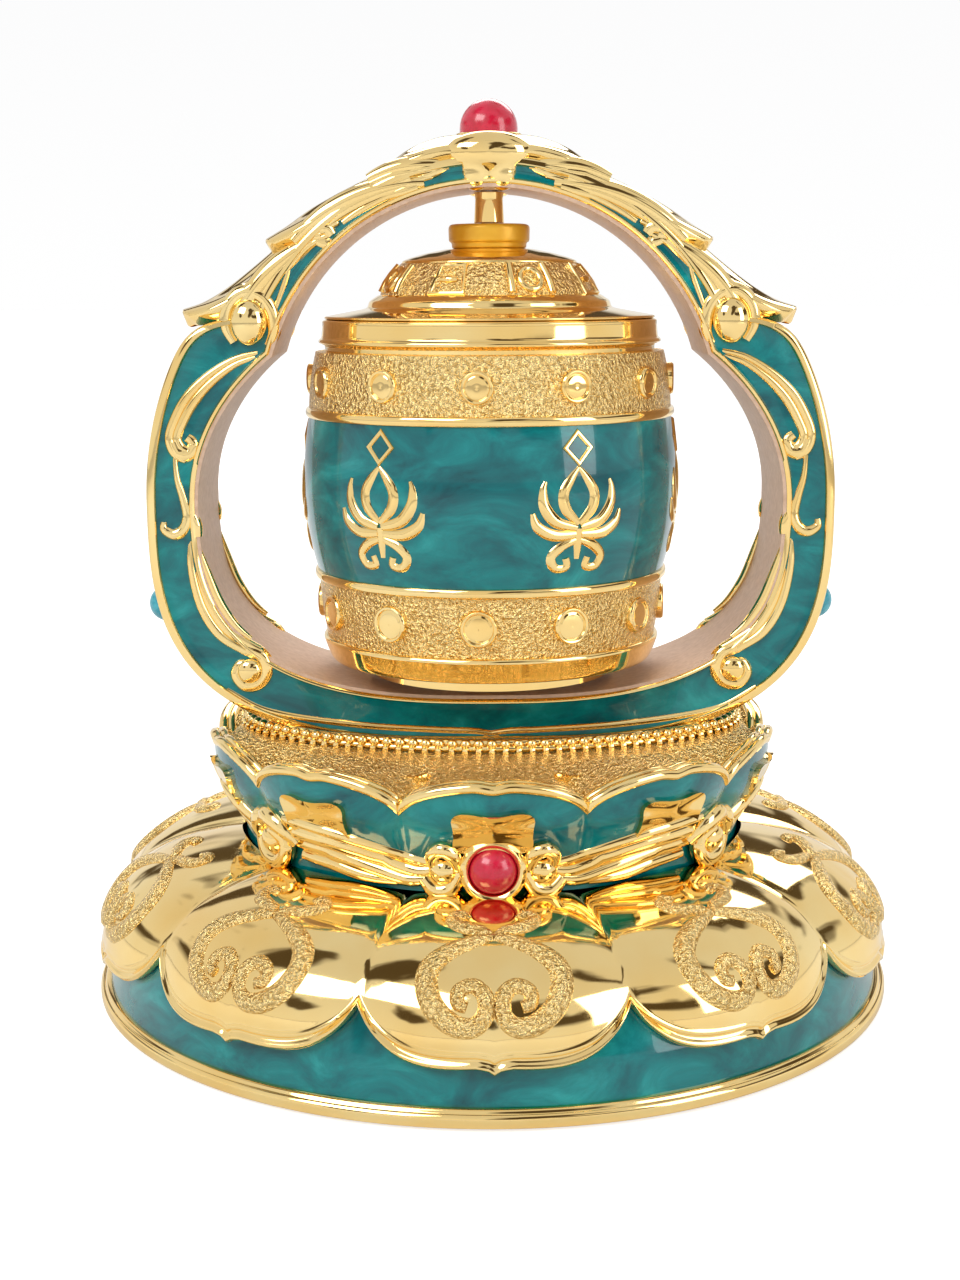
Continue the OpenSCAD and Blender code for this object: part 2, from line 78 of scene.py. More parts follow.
rim_high = size_of("plinth_rim")[1]
FOOT_R = rim_high.x
RIM_TOP = rim_high.z
band_low, band_high = size_of("enamel_band")
DRUM_R = band_high.x
BAND_LO, BAND_HI = band_low.z, band_high.z
frame_low, frame_high = size_of("arch_frame")
OUTER_W = frame_high.x
HALF_D = frame_high.y
DECK_Z = frame_low.z
SKIRT_TOP = size_of("lotus_skirt")[1].z
liner_low, liner_high = size_of("arch_liner")
OPEN_W = liner_high.x - 0.5
OPEN_BOTTOM, OPEN_TOP = liner_low.z + 0.5, liner_high.z - 0.5
LIP_R = size_of("waist_lip")[1].y
PETALS = 10
STEP = 360 / PETALS
TAU = 2 * math.pi
print("foot radius", round(FOOT_R, 2), "drum radius", round(DRUM_R, 2),
      "half depth", round(HALF_D, 2))
print("opening", round(OPEN_W, 2), round(OPEN_BOTTOM, 2), round(OPEN_TOP, 2),
      "lip", round(LIP_R, 2))

# %% [markdown]
# The camera looks a little down on the wheel from the front, with a fairly long lens, so that
# the arch stays upright and the foot opens into an ellipse.

# %% Camera
LENS = 54.4
CAMERA_AWAY = 4.80          # distances in foot radii
CAMERA_UP = 1.76
CAMERA_ASIDE = -0.021
LOOKS_DOWN = 10.51          # degrees


def make_camera():
    data = bpy.data.cameras.new("camera")
    data.lens = LENS
    data.sensor_width = 36
    data.clip_start = 0.01
    camera = bpy.data.objects.new("camera", data)
    foot = FOOT_R * MM
    camera.location = (CAMERA_ASIDE * foot, -CAMERA_AWAY * foot, CAMERA_UP * foot)
    camera.rotation_euler = (math.radians(90 - LOOKS_DOWN), math.radians(0.3), math.radians(0.02))
    bpy.context.scene.collection.objects.link(camera)
    bpy.context.scene.camera = camera
    return camera


camera = make_camera()
print("camera at", [round(v, 4) for v in camera.location])

# %% [markdown]
# Polished gold shows nothing but what stands around it. So the light matters as much as the
# metal: broad soft lamps give long pale streaks, and a sky that is bright low down and has
# broken darker patches higher up gives the dark flashes that make gold read as metal. The floor
# and the sky are shown a little brighter than they light the wheel, so that they stay white
# while the metal keeps its depth.

# %% Light and floor
def area_lamp(name, where, aim, size, watts, tint=(1, 1, 1)):
    data = bpy.data.lights.new(name, "AREA")
    data.shape = "RECTANGLE"
    data.size, data.size_y = size
    data.energy = watts
    data.color = tint
    lamp = bpy.data.objects.new(name, data)
    lamp.location = where
    lamp.rotation_euler = (Vector(aim) - Vector(where)).to_track_quat("-Z", "Y").to_euler()
    bpy.context.scene.collection.objects.link(lamp)
    return lamp


def make_sky():
    world = bpy.data.worlds.new("studio")
    bpy.context.scene.world = world
    world.use_nodes = True
    tree = world.node_tree
    tree.nodes.clear()
    out = tree.nodes.new("ShaderNodeOutputWorld")
    back = tree.nodes.new("ShaderNodeBackground")
    coords = tree.nodes.new("ShaderNodeTexCoord")
    split = tree.nodes.new("ShaderNodeSeparateXYZ")
    height = tree.nodes.new("ShaderNodeValToRGB")
    patches = tree.nodes.new("ShaderNodeTexNoise")
    cut = tree.nodes.new("ShaderNodeValToRGB")
    mask = tree.nodes.new("ShaderNodeMapRange")
    mix = tree.nodes.new("ShaderNodeMix")
    mix.data_type = "RGBA"
    both = tree.nodes.new("ShaderNodeMath")
    both.operation = "MULTIPLY"
    patches.inputs["Scale"].default_value = 1.6
    patches.inputs["Detail"].default_value = 3
    patches.inputs["Distortion"].default_value = 0.6
    cut.color_ramp.elements[0].position = 0.535
    cut.color_ramp.elements[1].position = 0.585
    mask.inputs["From Min"].default_value = 0.16
    mask.inputs["From Max"].default_value = 0.24
    height.color_ramp.elements[0].position = 0.0
    height.color_ramp.elements[0].color = (1.0, 1.0, 1.0, 1)
    height.color_ramp.elements[1].position = 1.0
    height.color_ramp.elements[1].color = (0.80, 0.80, 0.82, 1)
    mix.inputs["B"].default_value = (0.10, 0.075, 0.045, 1)
    links = tree.links
    links.new(coords.outputs["Generated"], split.inputs[0])
    links.new(coords.outputs["Generated"], patches.inputs["Vector"])
    links.new(split.outputs["Z"], height.inputs["Fac"])
    links.new(split.outputs["Z"], mask.inputs["Value"])
    links.new(patches.outputs["Fac"], cut.inputs["Fac"])
    links.new(mask.outputs["Result"], both.inputs[0])
    links.new(cut.outputs["Color"], both.inputs[1])
    links.new(both.outputs[0], mix.inputs["Factor"])
    links.new(height.outputs["Color"], mix.inputs["A"])
    links.new(mix.outputs["Result"], back.inputs["Color"])
    seen = tree.nodes.new("ShaderNodeLightPath")
    strength = tree.nodes.new("ShaderNodeMapRange")
    strength.inputs["To Min"].default_value = 0.88
    strength.inputs["To Max"].default_value = 1.0
    links.new(seen.outputs["Is Camera Ray"], strength.inputs["Value"])
    links.new(strength.outputs["Result"], back.inputs["Strength"])
    links.new(back.outputs[0], out.inputs[0])


def make_floor():
    bm = bmesh.new()
    bmesh.ops.create_circle(bm, cap_ends=True, radius=6, segments=64)
    mesh = bpy.data.meshes.new("floor")
    bm.to_mesh(mesh)
    bm.free()
    floor = bpy.data.objects.new("floor", mesh)
    material = bpy.data.materials.new("floor paper")
    material.use_nodes = True
    shader = material.node_tree.nodes["Principled BSDF"]
    shader.inputs["Base Color"].default_value = (0.72, 0.72, 0.72, 1)
    shader.inputs["Roughness"].default_value = 0.9
    shader.inputs["Specular IOR Level"].default_value = 0.0
    shader.inputs["Emission Color"].default_value = (1, 1, 1, 1)
    seen = material.node_tree.nodes.new("ShaderNodeLightPath")
    glow = material.node_tree.nodes.new("ShaderNodeMapRange")
    glow.inputs["To Min"].default_value = 0.08
    glow.inputs["To Max"].default_value = 0.68
    material.node_tree.links.new(seen.outputs["Is Camera Ray"], glow.inputs["Value"])
    material.node_tree.links.new(glow.outputs["Result"], shader.inputs["Emission Strength"])
    mesh.materials.append(material)
    bpy.context.scene.collection.objects.link(floor)
    floor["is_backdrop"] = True


make_sky()
make_floor()
area_lamp("key", (-0.45, -0.5, 0.62), (0, 0, 0.05), (0.5, 0.35), 3.6)
area_lamp("fill", (0.6, -0.42, 0.3), (0, 0, 0.05), (0.3, 0.5), 1.8)
area_lamp("rim", (0.1, 0.55, 0.5), (0, 0, 0.06), (0.6, 0.3), 2.4)
bpy.context.scene.view_settings.view_transform = "Standard"

# %% [markdown]
# Every finish is worked out by nodes in object space. The gold is one plating in three states:
# polished, stippled with a punch, and left satin inside the arch. The stippled state is also
# coloured darker, most of all in its punch pits: painted shade. The enamel is glass over
# metal, so it is a deep cloudy colour under a clear glossy coat.

# %% Finishes: a small kit for building node materials
class Finish:
    def __init__(self, name):
        self.material = bpy.data.materials.new(name)
        self.material.use_nodes = True
        self.tree = self.material.node_tree
        self.shader = self.tree.nodes["Principled BSDF"]
        self.coords = self.tree.nodes.new("ShaderNodeTexCoord")

    def put(self, **values):
        for label, value in values.items():
            self.shader.inputs[label.replace("_", " ")].default_value = value
        return self

    def stretch(self, scale):
        node = self.tree.nodes.new("ShaderNodeMapping")
        node.inputs["Scale"].default_value = scale
        self.tree.links.new(self.coords.outputs["Object"], node.inputs["Vector"])
        return node.outputs[0]

    def noise(self, scale, detail=4, distortion=0.0, stretch=(1, 1, 1), roughness=0.5):
        node = self.tree.nodes.new("ShaderNodeTexNoise")
        node.inputs["Scale"].default_value = scale
        node.inputs["Detail"].default_value = detail
        node.inputs["Distortion"].default_value = distortion
        node.inputs["Roughness"].default_value = roughness
        self.tree.links.new(self.stretch(stretch), node.inputs["Vector"])
        return node.outputs["Fac"]

    def ramp(self, source, stops):
        node = self.tree.nodes.new("ShaderNodeValToRGB")
        ramp = node.color_ramp
        while len(ramp.elements) < len(stops):
            ramp.elements.new(0.5)
        for element, (place, colour) in zip(ramp.elements, stops):
            element.position = place
            element.color = (*colour, 1)
        self.tree.links.new(source, node.inputs["Fac"])
        return node.outputs["Color"]

    def scaled(self, source, low, high):
        node = self.tree.nodes.new("ShaderNodeMapRange")
        node.inputs["To Min"].default_value = low
        node.inputs["To Max"].default_value = high
        self.tree.links.new(source, node.inputs["Value"])
        return node.outputs["Result"]

    def colour(self, source):
        self.tree.links.new(source, self.shader.inputs["Base Color"])
        return self

    def roughness(self, source):
        self.tree.links.new(source, self.shader.inputs["Roughness"])
        return self

    def bump(self, source, strength, distance):
        node = self.tree.nodes.new("ShaderNodeBump")
        node.inputs["Strength"].default_value = strength
        node.inputs["Distance"].default_value = distance
        self.tree.links.new(source, node.inputs["Height"])
        self.tree.links.new(node.outputs[0], self.shader.inputs["Normal"])
        return self

    def done(self):
        print("finish", self.material.name)
        return self.material


# %% Finishes: gold
GOLD_LIGHT = (1.0, 0.77, 0.35)
GOLD_DEEP = (0.97, 0.65, 0.22)


def polished_gold():
    f = Finish("polished gold").put(Metallic=1.0)
    f.colour(f.ramp(f.noise(90, 3), [(0.3, GOLD_LIGHT), (0.75, GOLD_DEEP)]))
    f.roughness(f.scaled(f.noise(260, 4), 0.035, 0.10))
    return f.bump(f.noise(240, 2), 0.06, 0.0002).done()


def stippled_gold():
    f = Finish("stippled gold with painted shade").put(Metallic=1.0)
    # Painted shade: the colour is darker than the polished gold of the same plating, and darkest in
    # the punch pits, where the matching noise sinks the bump.
    f.colour(f.ramp(f.noise(2600, 2), [(0.35, (0.66, 0.42, 0.13)), (0.6, (0.96, 0.72, 0.32))]))
    f.roughness(f.scaled(f.noise(900, 2), 0.16, 0.32))
    return f.bump(f.noise(2600, 2, roughness=0.6), 1.0, 0.0006).done()


def satin_gold():
    f = Finish("satin gold").put(Metallic=0.35)
    f.colour(f.ramp(f.noise(1500, 3), [(0.3, (0.58, 0.39, 0.27)), (0.7, (0.69, 0.49, 0.36))]))
    f.roughness(f.scaled(f.noise(500, 3), 0.42, 0.58))
    return f.bump(f.noise(5200, 2), 0.35, 0.00006).done()


def waxy_gold():
    f = Finish("waxy gold").put(Metallic=0.25)
    f.colour(f.ramp(f.noise(500, 3), [(0.3, (0.78, 0.38, 0.015)), (0.7, (0.88, 0.50, 0.04))]))
    f.roughness(f.scaled(f.noise(700, 3), 0.26, 0.4))
    return f.bump(f.noise(900, 2), 0.15, 0.0001).done()


GOLD = polished_gold()
STIPPLE_AND_PAINTED_SHADE = stippled_gold()
SATIN = satin_gold()
WAXY = waxy_gold()

# %% Finishes: enamel and stones
def teal_enamel():
    f = Finish("teal enamel").put(Coat_Weight=0.7, Coat_Roughness=0.02, Coat_IOR=1.45, IOR=1.3)
    clouds = f.noise(120, 7, 0.7, (1, 1, 1.8), 0.62)
    f.colour(f.ramp(clouds, [(0.28, (0.000, 0.058, 0.072)), (0.43, (0.000, 0.118, 0.130)),
                             (0.56, (0.000, 0.182, 0.188)), (0.72, (0.012, 0.300, 0.290))]))
    f.roughness(f.scaled(f.noise(300, 3), 0.10, 0.2))
    return f.bump(f.noise(120, 2), 0.12, 0.0004).done()


def polished_stone(name, dark, light):
    f = Finish(name).put(Coat_Weight=0.5, Coat_Roughness=0.05)
    f.colour(f.ramp(f.noise(700, 5, 0.8), [(0.3, dark), (0.7, light)]))
    f.roughness(f.scaled(f.noise(500, 3), 0.18, 0.32))
    return f.bump(f.noise(900, 2), 0.08, 0.0001).done()


ENAMEL = teal_enamel()
CORAL = polished_stone("coral red", (0.46, 0.002, 0.022), (0.60, 0.008, 0.045))
TURQUOISE = polished_stone("turquoise", (0.01, 0.24, 0.32), (0.05, 0.42, 0.50))

# %% Finishes: inner and underside pieces
def turned_metal(name, tone, worn):
    f = Finish(name).put(Metallic=1.0)
    f.colour(f.ramp(f.noise(400, 4), [(0.3, tone), (0.7, worn)]))
    f.roughness(f.scaled(f.noise(1400, 3, 0, (1, 1, 12)), 0.24, 0.42))
    return f.bump(f.noise(2600, 2, 0, (1, 1, 14)), 0.2, 0.00005).done()


def soft_sheet(name, dark, light, grain):
    f = Finish(name).put(Sheen_Weight=0.3)
    f.colour(f.ramp(f.noise(grain, 4), [(0.3, dark), (0.7, light)]))
    f.roughness(f.scaled(f.noise(grain * 0.5, 3), 0.75, 0.95))
    return f.bump(f.noise(grain * 1.5, 3), 0.5, 0.0001).done()


STEEL = turned_metal("zinc plated steel", (0.45, 0.46, 0.48), (0.60, 0.61, 0.63))
BRONZE = turned_metal("turned bronze", (0.55, 0.36, 0.15), (0.70, 0.48, 0.22))
FELT = soft_sheet("black felt", (0.012, 0.011, 0.010), (0.035, 0.032, 0.03), 3000)
PAPER = soft_sheet("prayer paper", (0.62, 0.55, 0.42), (0.80, 0.74, 0.60), 900)
WOOD = soft_sheet("core wood", (0.30, 0.19, 0.10), (0.45, 0.31, 0.18), 500)

SLOT_FINISH = {
    "polished_gold": GOLD, "stippled_gold": STIPPLE_AND_PAINTED_SHADE, "teal_enamel": ENAMEL,
    "coral_stone": CORAL, "turquoise": TURQUOISE, "satin_gold": SATIN, "steel": STEEL,
    "bushing": BRONZE, "felt": FELT, "core_tube": WOOD, "paper": PAPER,
}


def dress_working_nodes():
    for part in frame["record"]["subparts"]:
        mesh = frame["nodes"][part["node"]].data
        mesh.materials.clear()
        mesh.materials.append(SLOT_FINISH[part["material_slot"]])


dress_working_nodes()

# %% [markdown]
# Nearly every piece here is a turned shape or one that was turned and then chased. A ring is
# spun from a closed section, and may then be shaped point by point, so that a plain ring
# becomes a row of petals. A stroke is a tapered rib laid along a line, half sunk in the
# surface below it, as scroll work is in a casting.

# %% Kit: spun rings
def polar(angle, radius, height):
    a = math.radians(angle)
    return Vector((radius * math.sin(a), -radius * math.cos(a), height))


def soft(points, cut, count=5):
    """The closed outline with every corner rounded."""
    out = []
    total = len(points)
    for i, p in enumerate(points):
        p = Vector(p)
        before, after = Vector(points[i - 1]) - p, Vector(points[(i + 1) % total]) - p
        a = p + before.normalized() * min(cut, before.length * 0.45)
        b = p + after.normalized() * min(cut, after.length * 0.45)
        for k in range(count + 1):
            t = k / count
            out.append((a.lerp(p, t)).lerp(p.lerp(b, t), t))
    return out


def spin_section(section, steps):
    bm = bmesh.new()
    verts = [bm.verts.new((p[0], 0, p[1])) for p in section]
    edges = [bm.edges.new((a, b)) for a, b in zip(verts, verts[1:] + verts[:1])]
    bmesh.ops.spin(bm, geom=verts + edges, cent=(0, 0, 0), axis=(0, 0, 1),
                   angle=TAU, steps=steps, use_merge=True)
    return bm


BLANK_R = 10


def shaped_ring(section, steps, place):
    """Spins a small blank whose section holds two plain numbers, u outwards and v upwards, then
    moves every point to place(angle, u, v)."""
    bm = spin_section([(BLANK_R + p[0], p[1]) for p in section], steps)
    for v in bm.verts:
        x, y, z = v.co
        u = max(0.0, math.hypot(x, y) - BLANK_R)
        v.co = place(math.degrees(math.atan2(x, -y)), u, z)
    return bm


def strip(count, power=1.0, back=6):
    """Section of a shaped ring: u from 0 to 1 on the face (v = 0) and back again (v = 1)."""
    face = [((i / count) ** power, 0) for i in range(count + 1)]
    rear = [(1 - i / back, 1) for i in range(back + 1)]
    return face + rear


# %% Kit: from mesh to finished piece
def finish_piece(name, bm, body, slot, nodes=(), sharp=40):
    bmesh.ops.remove_doubles(bm, verts=bm.verts, dist=2e-3)
    bmesh.ops.scale(bm, vec=(MM, MM, MM), verts=bm.verts)
    bmesh.ops.recalc_face_normals(bm, faces=bm.faces)
    mesh = bpy.data.meshes.new(name)
    bm.to_mesh(mesh)
    bm.free()
    for polygon in mesh.polygons:
        polygon.use_smooth = True
    mesh.set_sharp_from_angle(angle=math.radians(sharp))
    mesh.materials.append(SLOT_FINISH[slot])
    piece = bpy.data.objects.new(name, mesh)
    bpy.context.scene.collection.objects.link(piece)
    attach(piece, body)
    if nodes:
        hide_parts(*nodes)
    print(name, len(mesh.polygons), "faces")
    return piece


def turned(name, profile, body, slot, nodes=(), cut=0.25, steps=192):
    return finish_piece(name, spin_section(soft(profile, cut), steps), body, slot, nodes)


def join_in(bm, other):
    mesh = bpy.data.meshes.new("joined")
    other.to_mesh(mesh)
    other.free()
    bm.from_mesh(mesh)
    bpy.data.meshes.remove(mesh)


def blob(bm, centre, radii, segments=28):
    at = Matrix.Translation(centre) @ Matrix.Diagonal((*radii, 1))
    bmesh.ops.create_uvsphere(bm, u_segments=segments, v_segments=segments // 2, radius=1,
                              matrix=at)


def melted(bm, voxel, rounds):
    """Melts overlapping blobs into one smooth body."""
    mesh = bpy.data.meshes.new("melted")
    bm.to_mesh(mesh)
    bm.free()
    holder = bpy.data.objects.new("melted", mesh)
    bpy.context.scene.collection.objects.link(holder)
    remesh = holder.modifiers.new("remesh", "REMESH")
    remesh.mode = "VOXEL"
    remesh.voxel_size = voxel
    smooth = holder.modifiers.new("smooth", "SMOOTH")
    smooth.iterations = rounds
    bpy.context.view_layer.update()
    result = bpy.data.meshes.new_from_object(holder.evaluated_get(
        bpy.context.evaluated_depsgraph_get()))
    bpy.data.objects.remove(holder)
    out = bmesh.new()
    out.from_mesh(result)
    bpy.data.meshes.remove(result)
    return out


# %% Kit: strokes of scroll work
def smooth_line(points, parts=7):
    """Points on a smooth curve through the given ones. Whatever numbers they carry, such as a
    half width, change as smoothly as the place."""
    pts = [Vector(p) for p in points]
    out = []
    for i in range(len(pts) - 1):
        a, b, c, d = pts[max(i - 1, 0)], pts[i], pts[i + 1], pts[min(i + 2, len(pts) - 1)]
        for k in range(parts):
            t = k / parts
            out.append(0.5 * (2 * b + (c - a) * t + (2 * a - 5 * b + 4 * c - d) * t * t
                              + (3 * b - a - 3 * c + d) * t * t * t))
    return out + [pts[-1]]


class Strokes:
    """Collects ribs of one piece, then makes them one mesh."""

    def __init__(self, rounds=3, sink=0.45):
        self.sink = sink
        self.curve = bpy.data.curves.new("strokes", "CURVE")
        self.curve.dimensions = "3D"
        self.curve.bevel_depth = MM
        self.curve.bevel_resolution = rounds
        self.curve.use_fill_caps = True

    def lay(self, line, place, closed=False):
        """Lays a line of (u, v, half width) on a surface, where place(u, v) gives the point and
        the way out of the surface. The rib is sunk by part of its width."""
        spline = self.curve.splines.new("POLY")
        spline.points.add(len(line) - 1)
        for point, (u, v, w) in zip(spline.points, line):
            where, out = place(u, v)
            where = (where - out * w * self.sink) * MM
            point.co = (*where, 1)
            point.radius = w
        spline.use_cyclic_u = closed

    def to_bmesh(self):
        holder = bpy.data.objects.new("strokes", self.curve)
        bpy.context.scene.collection.objects.link(holder)
        bpy.context.view_layer.update()
        mesh = bpy.data.meshes.new_from_object(holder.evaluated_get(
            bpy.context.evaluated_depsgraph_get()))
        bpy.data.objects.remove(holder)
        bm = bmesh.new()
        bm.from_mesh(mesh)
        bpy.data.meshes.remove(mesh)
        bmesh.ops.scale(bm, vec=(1 / MM, 1 / MM, 1 / MM), verts=bm.verts)
        return bm


def normal_of(surface, u, v, eps=0.05):
    a = surface(u + eps, v) - surface(u - eps, v)
    b = surface(u, v + eps) - surface(u, v - eps)
    return a.cross(b).normalized()


def on(surface):
    """Turns a surface into a place for strokes."""
    return lambda u, v: (surface(u, v), normal_of(surface, u, v))


# %% [markdown]
# The foot starts with a gold rim and, above it, a band of enamel that leans inwards and runs up
# behind the petals. Both are simple turned rings.

# %% Foot rim and enamel band
PLATE_R = size_of("base_plate")[1].x


def make_foot_rings():
    turned("rim_ring", [(PLATE_R + 0.05, 0.35), (FOOT_R - 0.3, 0.35), (FOOT_R, 0.8),
                        (FOOT_R, RIM_TOP - 0.75), (FOOT_R - 0.3, RIM_TOP - 0.35),
                        (FOOT_R - 0.45, RIM_TOP - 0.5), (FOOT_R - 0.75, RIM_TOP),
                        (FOOT_R - 1.3, RIM_TOP + 0.05), (PLATE_R + 0.05, RIM_TOP - 0.2)],
           "stand", "polished_gold", ["plinth_rim"], 0.22, 256)
    turned("enamel_foot_band", [(FOOT_R - 3.2, RIM_TOP - 0.3), (FOOT_R - 1.25, RIM_TOP - 0.3),
                                (FOOT_R - 1.2, RIM_TOP + 0.3), (FOOT_R - 1.9, 6.5),
                                (FOOT_R - 3.3, 10.5), (FOOT_R - 4.2, 13.0), (FOOT_R - 6.4, 13.0)],
           "stand", "teal_enamel", ["plinth_band"], 0.5, 256)


make_foot_rings()

# %% [markdown]
# The lotus skirt is one casting: a ring of petals that swell outwards and meet in creases. Each
# petal's lower edge is a bracket with a small point in the middle, edged by a rolled lip and a
# finer line above it. It is spun as a blank, and every point is then moved by one rule, because
# all the petals are alike.

# %% Lotus skirt
def petal_u(angle):
    """0 in the middle of a petal, 1 at the notch between two."""
    turns = angle / STEP
    return abs(turns - round(turns)) * 2


def crease(u):
    return (1 - math.sqrt(max(0.0, 1 - 0.96 * u * u))) / 0.8


def bezier(points, t):
    s = 1 - t
    weights = (s ** 3, 3 * s * s * t, 3 * s * t * t, t ** 3)
    return sum((Vector(p) * w for p, w in zip(points, weights)), Vector((0, 0)))


def edge_height(u):
    point = 0.85 * math.sqrt(min(u / 0.13, 1.0))
    return 5.95 + point - 0.35 * math.sin(math.pi * min(u / 0.8, 1)) + 5.1 * u ** 5


def skirt_at(angle, t):
    """Point on the petals' face as (radius, height)."""
    u = petal_u(angle)
    mid = bezier([(47.75, edge_height(u)), (48.9, 12.5), (44.2, 19.2), (30.5, SKIRT_TOP + 0.1)], t)
    notch = bezier([(45.4, edge_height(u)), (44.0, 15.5), (39.5, 18.2), (30.5, SKIRT_TOP - 0.9)], t)
    return mid.lerp(notch, crease(u))


def hill(x, middle, half):
    d = (x - middle) / half
    return math.exp(-d * d * 1.4)


def skirt_place(angle, t, back):
    p = skirt_at(angle, t)
    ahead = skirt_at(angle, min(t + 0.01, 1.0)) - skirt_at(angle, max(t - 0.01, 0.0))
    out = Vector((ahead.y, -ahead.x)).normalized()
    if back > 0.5:
        p = p - out * (0.9 if t > 0 else 1.1)
        return polar(angle, p.x, p.y)
    up = t * 18
    lift = 0.42 * hill(up, 0.45, 0.42) + 0.16 * hill(up, 1.55, 0.28) - 0.10 * hill(up, 1.1, 0.2)
    p = p + out * (lift - 0.25)
    return polar(angle, p.x, p.y)


def make_skirt():
    bm = shaped_ring(strip(56, 1.7), PETALS * 48, skirt_place)
    finish_piece("petal_skirt", bm, "stand", "polished_gold", ["lotus_skirt"], 60)


make_skirt()

# %% [markdown]
# Each petal carries a heart made of two arms. They start together at the top, swing out and
# curl inwards at the bottom, and two small curls spread above them. The punch has left them
# stippled, while the petal behind them is polished.

# %% Hearts on the petals
HEART_ARM = [(0.15, 15.9, 0.6), (1.9, 15.2, 1.0), (4.4, 13.7, 1.35), (6.5, 11.5, 1.5),
             (7.1, 9.1, 1.5), (6.3, 6.7, 1.5), (4.3, 5.1, 1.4), (2.2, 4.9, 1.25),
             (0.95, 6.3, 1.1), (0.95, 8.3, 1.05), (2.2, 9.4, 1.0), (3.6, 8.7, 0.95),
             (3.7, 7.4, 0.85), (2.8, 7.0, 0.7)]
HEART_CURL = [(0.1, 15.6, 0.5), (1.1, 16.8, 0.8), (2.6, 17.2, 1.05), (4.0, 17.9, 1.05),
              (4.3, 19.1, 0.85), (3.4, 19.9, 0.7), (2.7, 19.1, 0.5)]


def petal_surface(middle):
    def surface(x, up):
        t = skirt_t(up)
        angle = middle + math.degrees(x / max(30.0, skirt_at(middle, t).x))
        p = skirt_at(angle, t)
        return polar(angle, p.x, p.y)
    return surface


def skirt_table():
    rows = [(0.0, 0.0)]
    before = skirt_at(0, 0)
    for i in range(1, 201):
        here = skirt_at(0, i / 200)
        rows.append((rows[-1][0] + (here - before).length, i / 200))
        before = here
    return rows


SKIRT_ROWS = skirt_table()


def skirt_t(up):
    """Share of the way up the petal after climbing so many millimetres from its edge."""
    for (a, ta), (b, tb) in zip(SKIRT_ROWS, SKIRT_ROWS[1:]):
        if up <= b:
            return ta + (tb - ta) * (max(up, a) - a) / (b - a)
    return 1.0


def make_hearts():
    strokes = Strokes(3, 0.72)
    for k in range(PETALS):
        place = on(petal_surface(k * STEP))
        for side in (-1, 1):
            for line in (HEART_ARM, HEART_CURL):
                strokes.lay([(side * x, up, w) for x, up, w in smooth_line(line, 5)], place)
    finish_piece("petal_hearts", strokes.to_bmesh(), "stand", "stippled_gold", ["petal_scrolls"])


make_hearts()

# %% [markdown]
# Above the skirt the waist flares out in ten enamelled lobes under a scalloped gold lip. The
# lip dips to a sharp notch between two lobes. A fluted deck leads in from it to an oval row of
# beads round the foot of the arch.

# %% Waist: enamel body, lip and deck
WAIST_LOW = SKIRT_TOP - 0.6
OVAL_WIDE, OVAL_DEEP = 29.4, 17.7      # half sizes of the oval round the foot of the arch
NOWHERE = Vector((0, 0, 0))            # for ribs that are not sunk into anything
FLUTES = 144


def lip_height(u):
    return DECK_Z + 1.5 - 3.2 * crease(u) - 0.35 * hill(u, 0.0, 0.14)


def lip_radius(u):
    return LIP_R - 0.75 - 1.3 * crease(u)


def waist_radius(angle, t):
    u = petal_u(angle)
    flare = 29.9 + 0.4 * t + 3.4 * max(0.0, (t - 0.25) / 0.75) ** 0.75
    swell = 0.9 * math.sin(math.pi * min(1.0, max(0.0, (t - 0.3) / 0.7))) * (1 - crease(u))
    return flare + swell - 1.1 * crease(u) * min(1.0, t * 1.6)


def waist_surface(angle, height):
    u = petal_u(angle)
    t = (height - WAIST_LOW) / (lip_height(u) - WAIST_LOW)
    return polar(angle, waist_radius(angle, t), height)


def waist_place(angle, t, back):
    height = WAIST_LOW + t * (lip_height(petal_u(angle)) - 0.5 - WAIST_LOW)
    if back > 0.5:
        return polar(angle, 27.5, height - 2.2 * t)
    radius = waist_radius(angle, t)
    return polar(angle, radius, height)


def make_waist():
    bm = shaped_ring(strip(28), PETALS * 40, waist_place)
    finish_piece("waist_enamel", bm, "stand", "teal_enamel", ["waist_body"], 60)


def lip_line(inset, drop, width):
    line = []
    for k in range(PETALS * 44):
        angle = k * STEP / 44
        u = petal_u(angle)
        line.append((angle, lip_radius(u) - inset, lip_height(u) - drop, width))
    return line


def make_lip():
    strokes = Strokes(3)
    for inset, drop, width in ((0.15, 0.3, 0.62), (1.15, 0.15, 0.55)):
        line = [(a, (r, z), w) for a, r, z, w in lip_line(inset, drop, width)]
        strokes.lay(line, lambda a, rz: (polar(a, *rz), NOWHERE), True)
    finish_piece("lip_roll", strokes.to_bmesh(), "stand", "polished_gold", ["waist_lip"])


def oval_radius(angle, grow=0.0):
    a = math.radians(angle)
    wide, deep = OVAL_WIDE + grow, OVAL_DEEP + grow
    return 1 / math.sqrt((math.sin(a) / wide) ** 2 + (math.cos(a) / deep) ** 2)


def deck_place(angle, t, back):
    u = petal_u(angle)
    outer, inner = lip_radius(u) - 1.0, min(oval_radius(angle, 0.6), lip_radius(u) - 2.4)
    radius = outer + (inner - outer) * t
    edge = lip_height(u) - 0.25
    height = edge + (DECK_Z + 1.0 - edge) * (t ** 0.8) - 0.5 * math.sin(math.pi * min(t * 1.5, 1))
    flute = 0.13 * math.cos(math.radians(angle * FLUTES))
    flute *= math.sin(math.pi * min(1, t * 1.2 + 0.05))
    if back > 0.5:
        return polar(angle, radius, height - 0.9)
    return polar(angle, radius, height + flute)


def make_deck():
    bm = shaped_ring(strip(10, 1.0, 2), FLUTES * 10, deck_place)
    finish_piece("fluted_deck", bm, "stand", "stippled_gold", ["waist_deck"], 60)


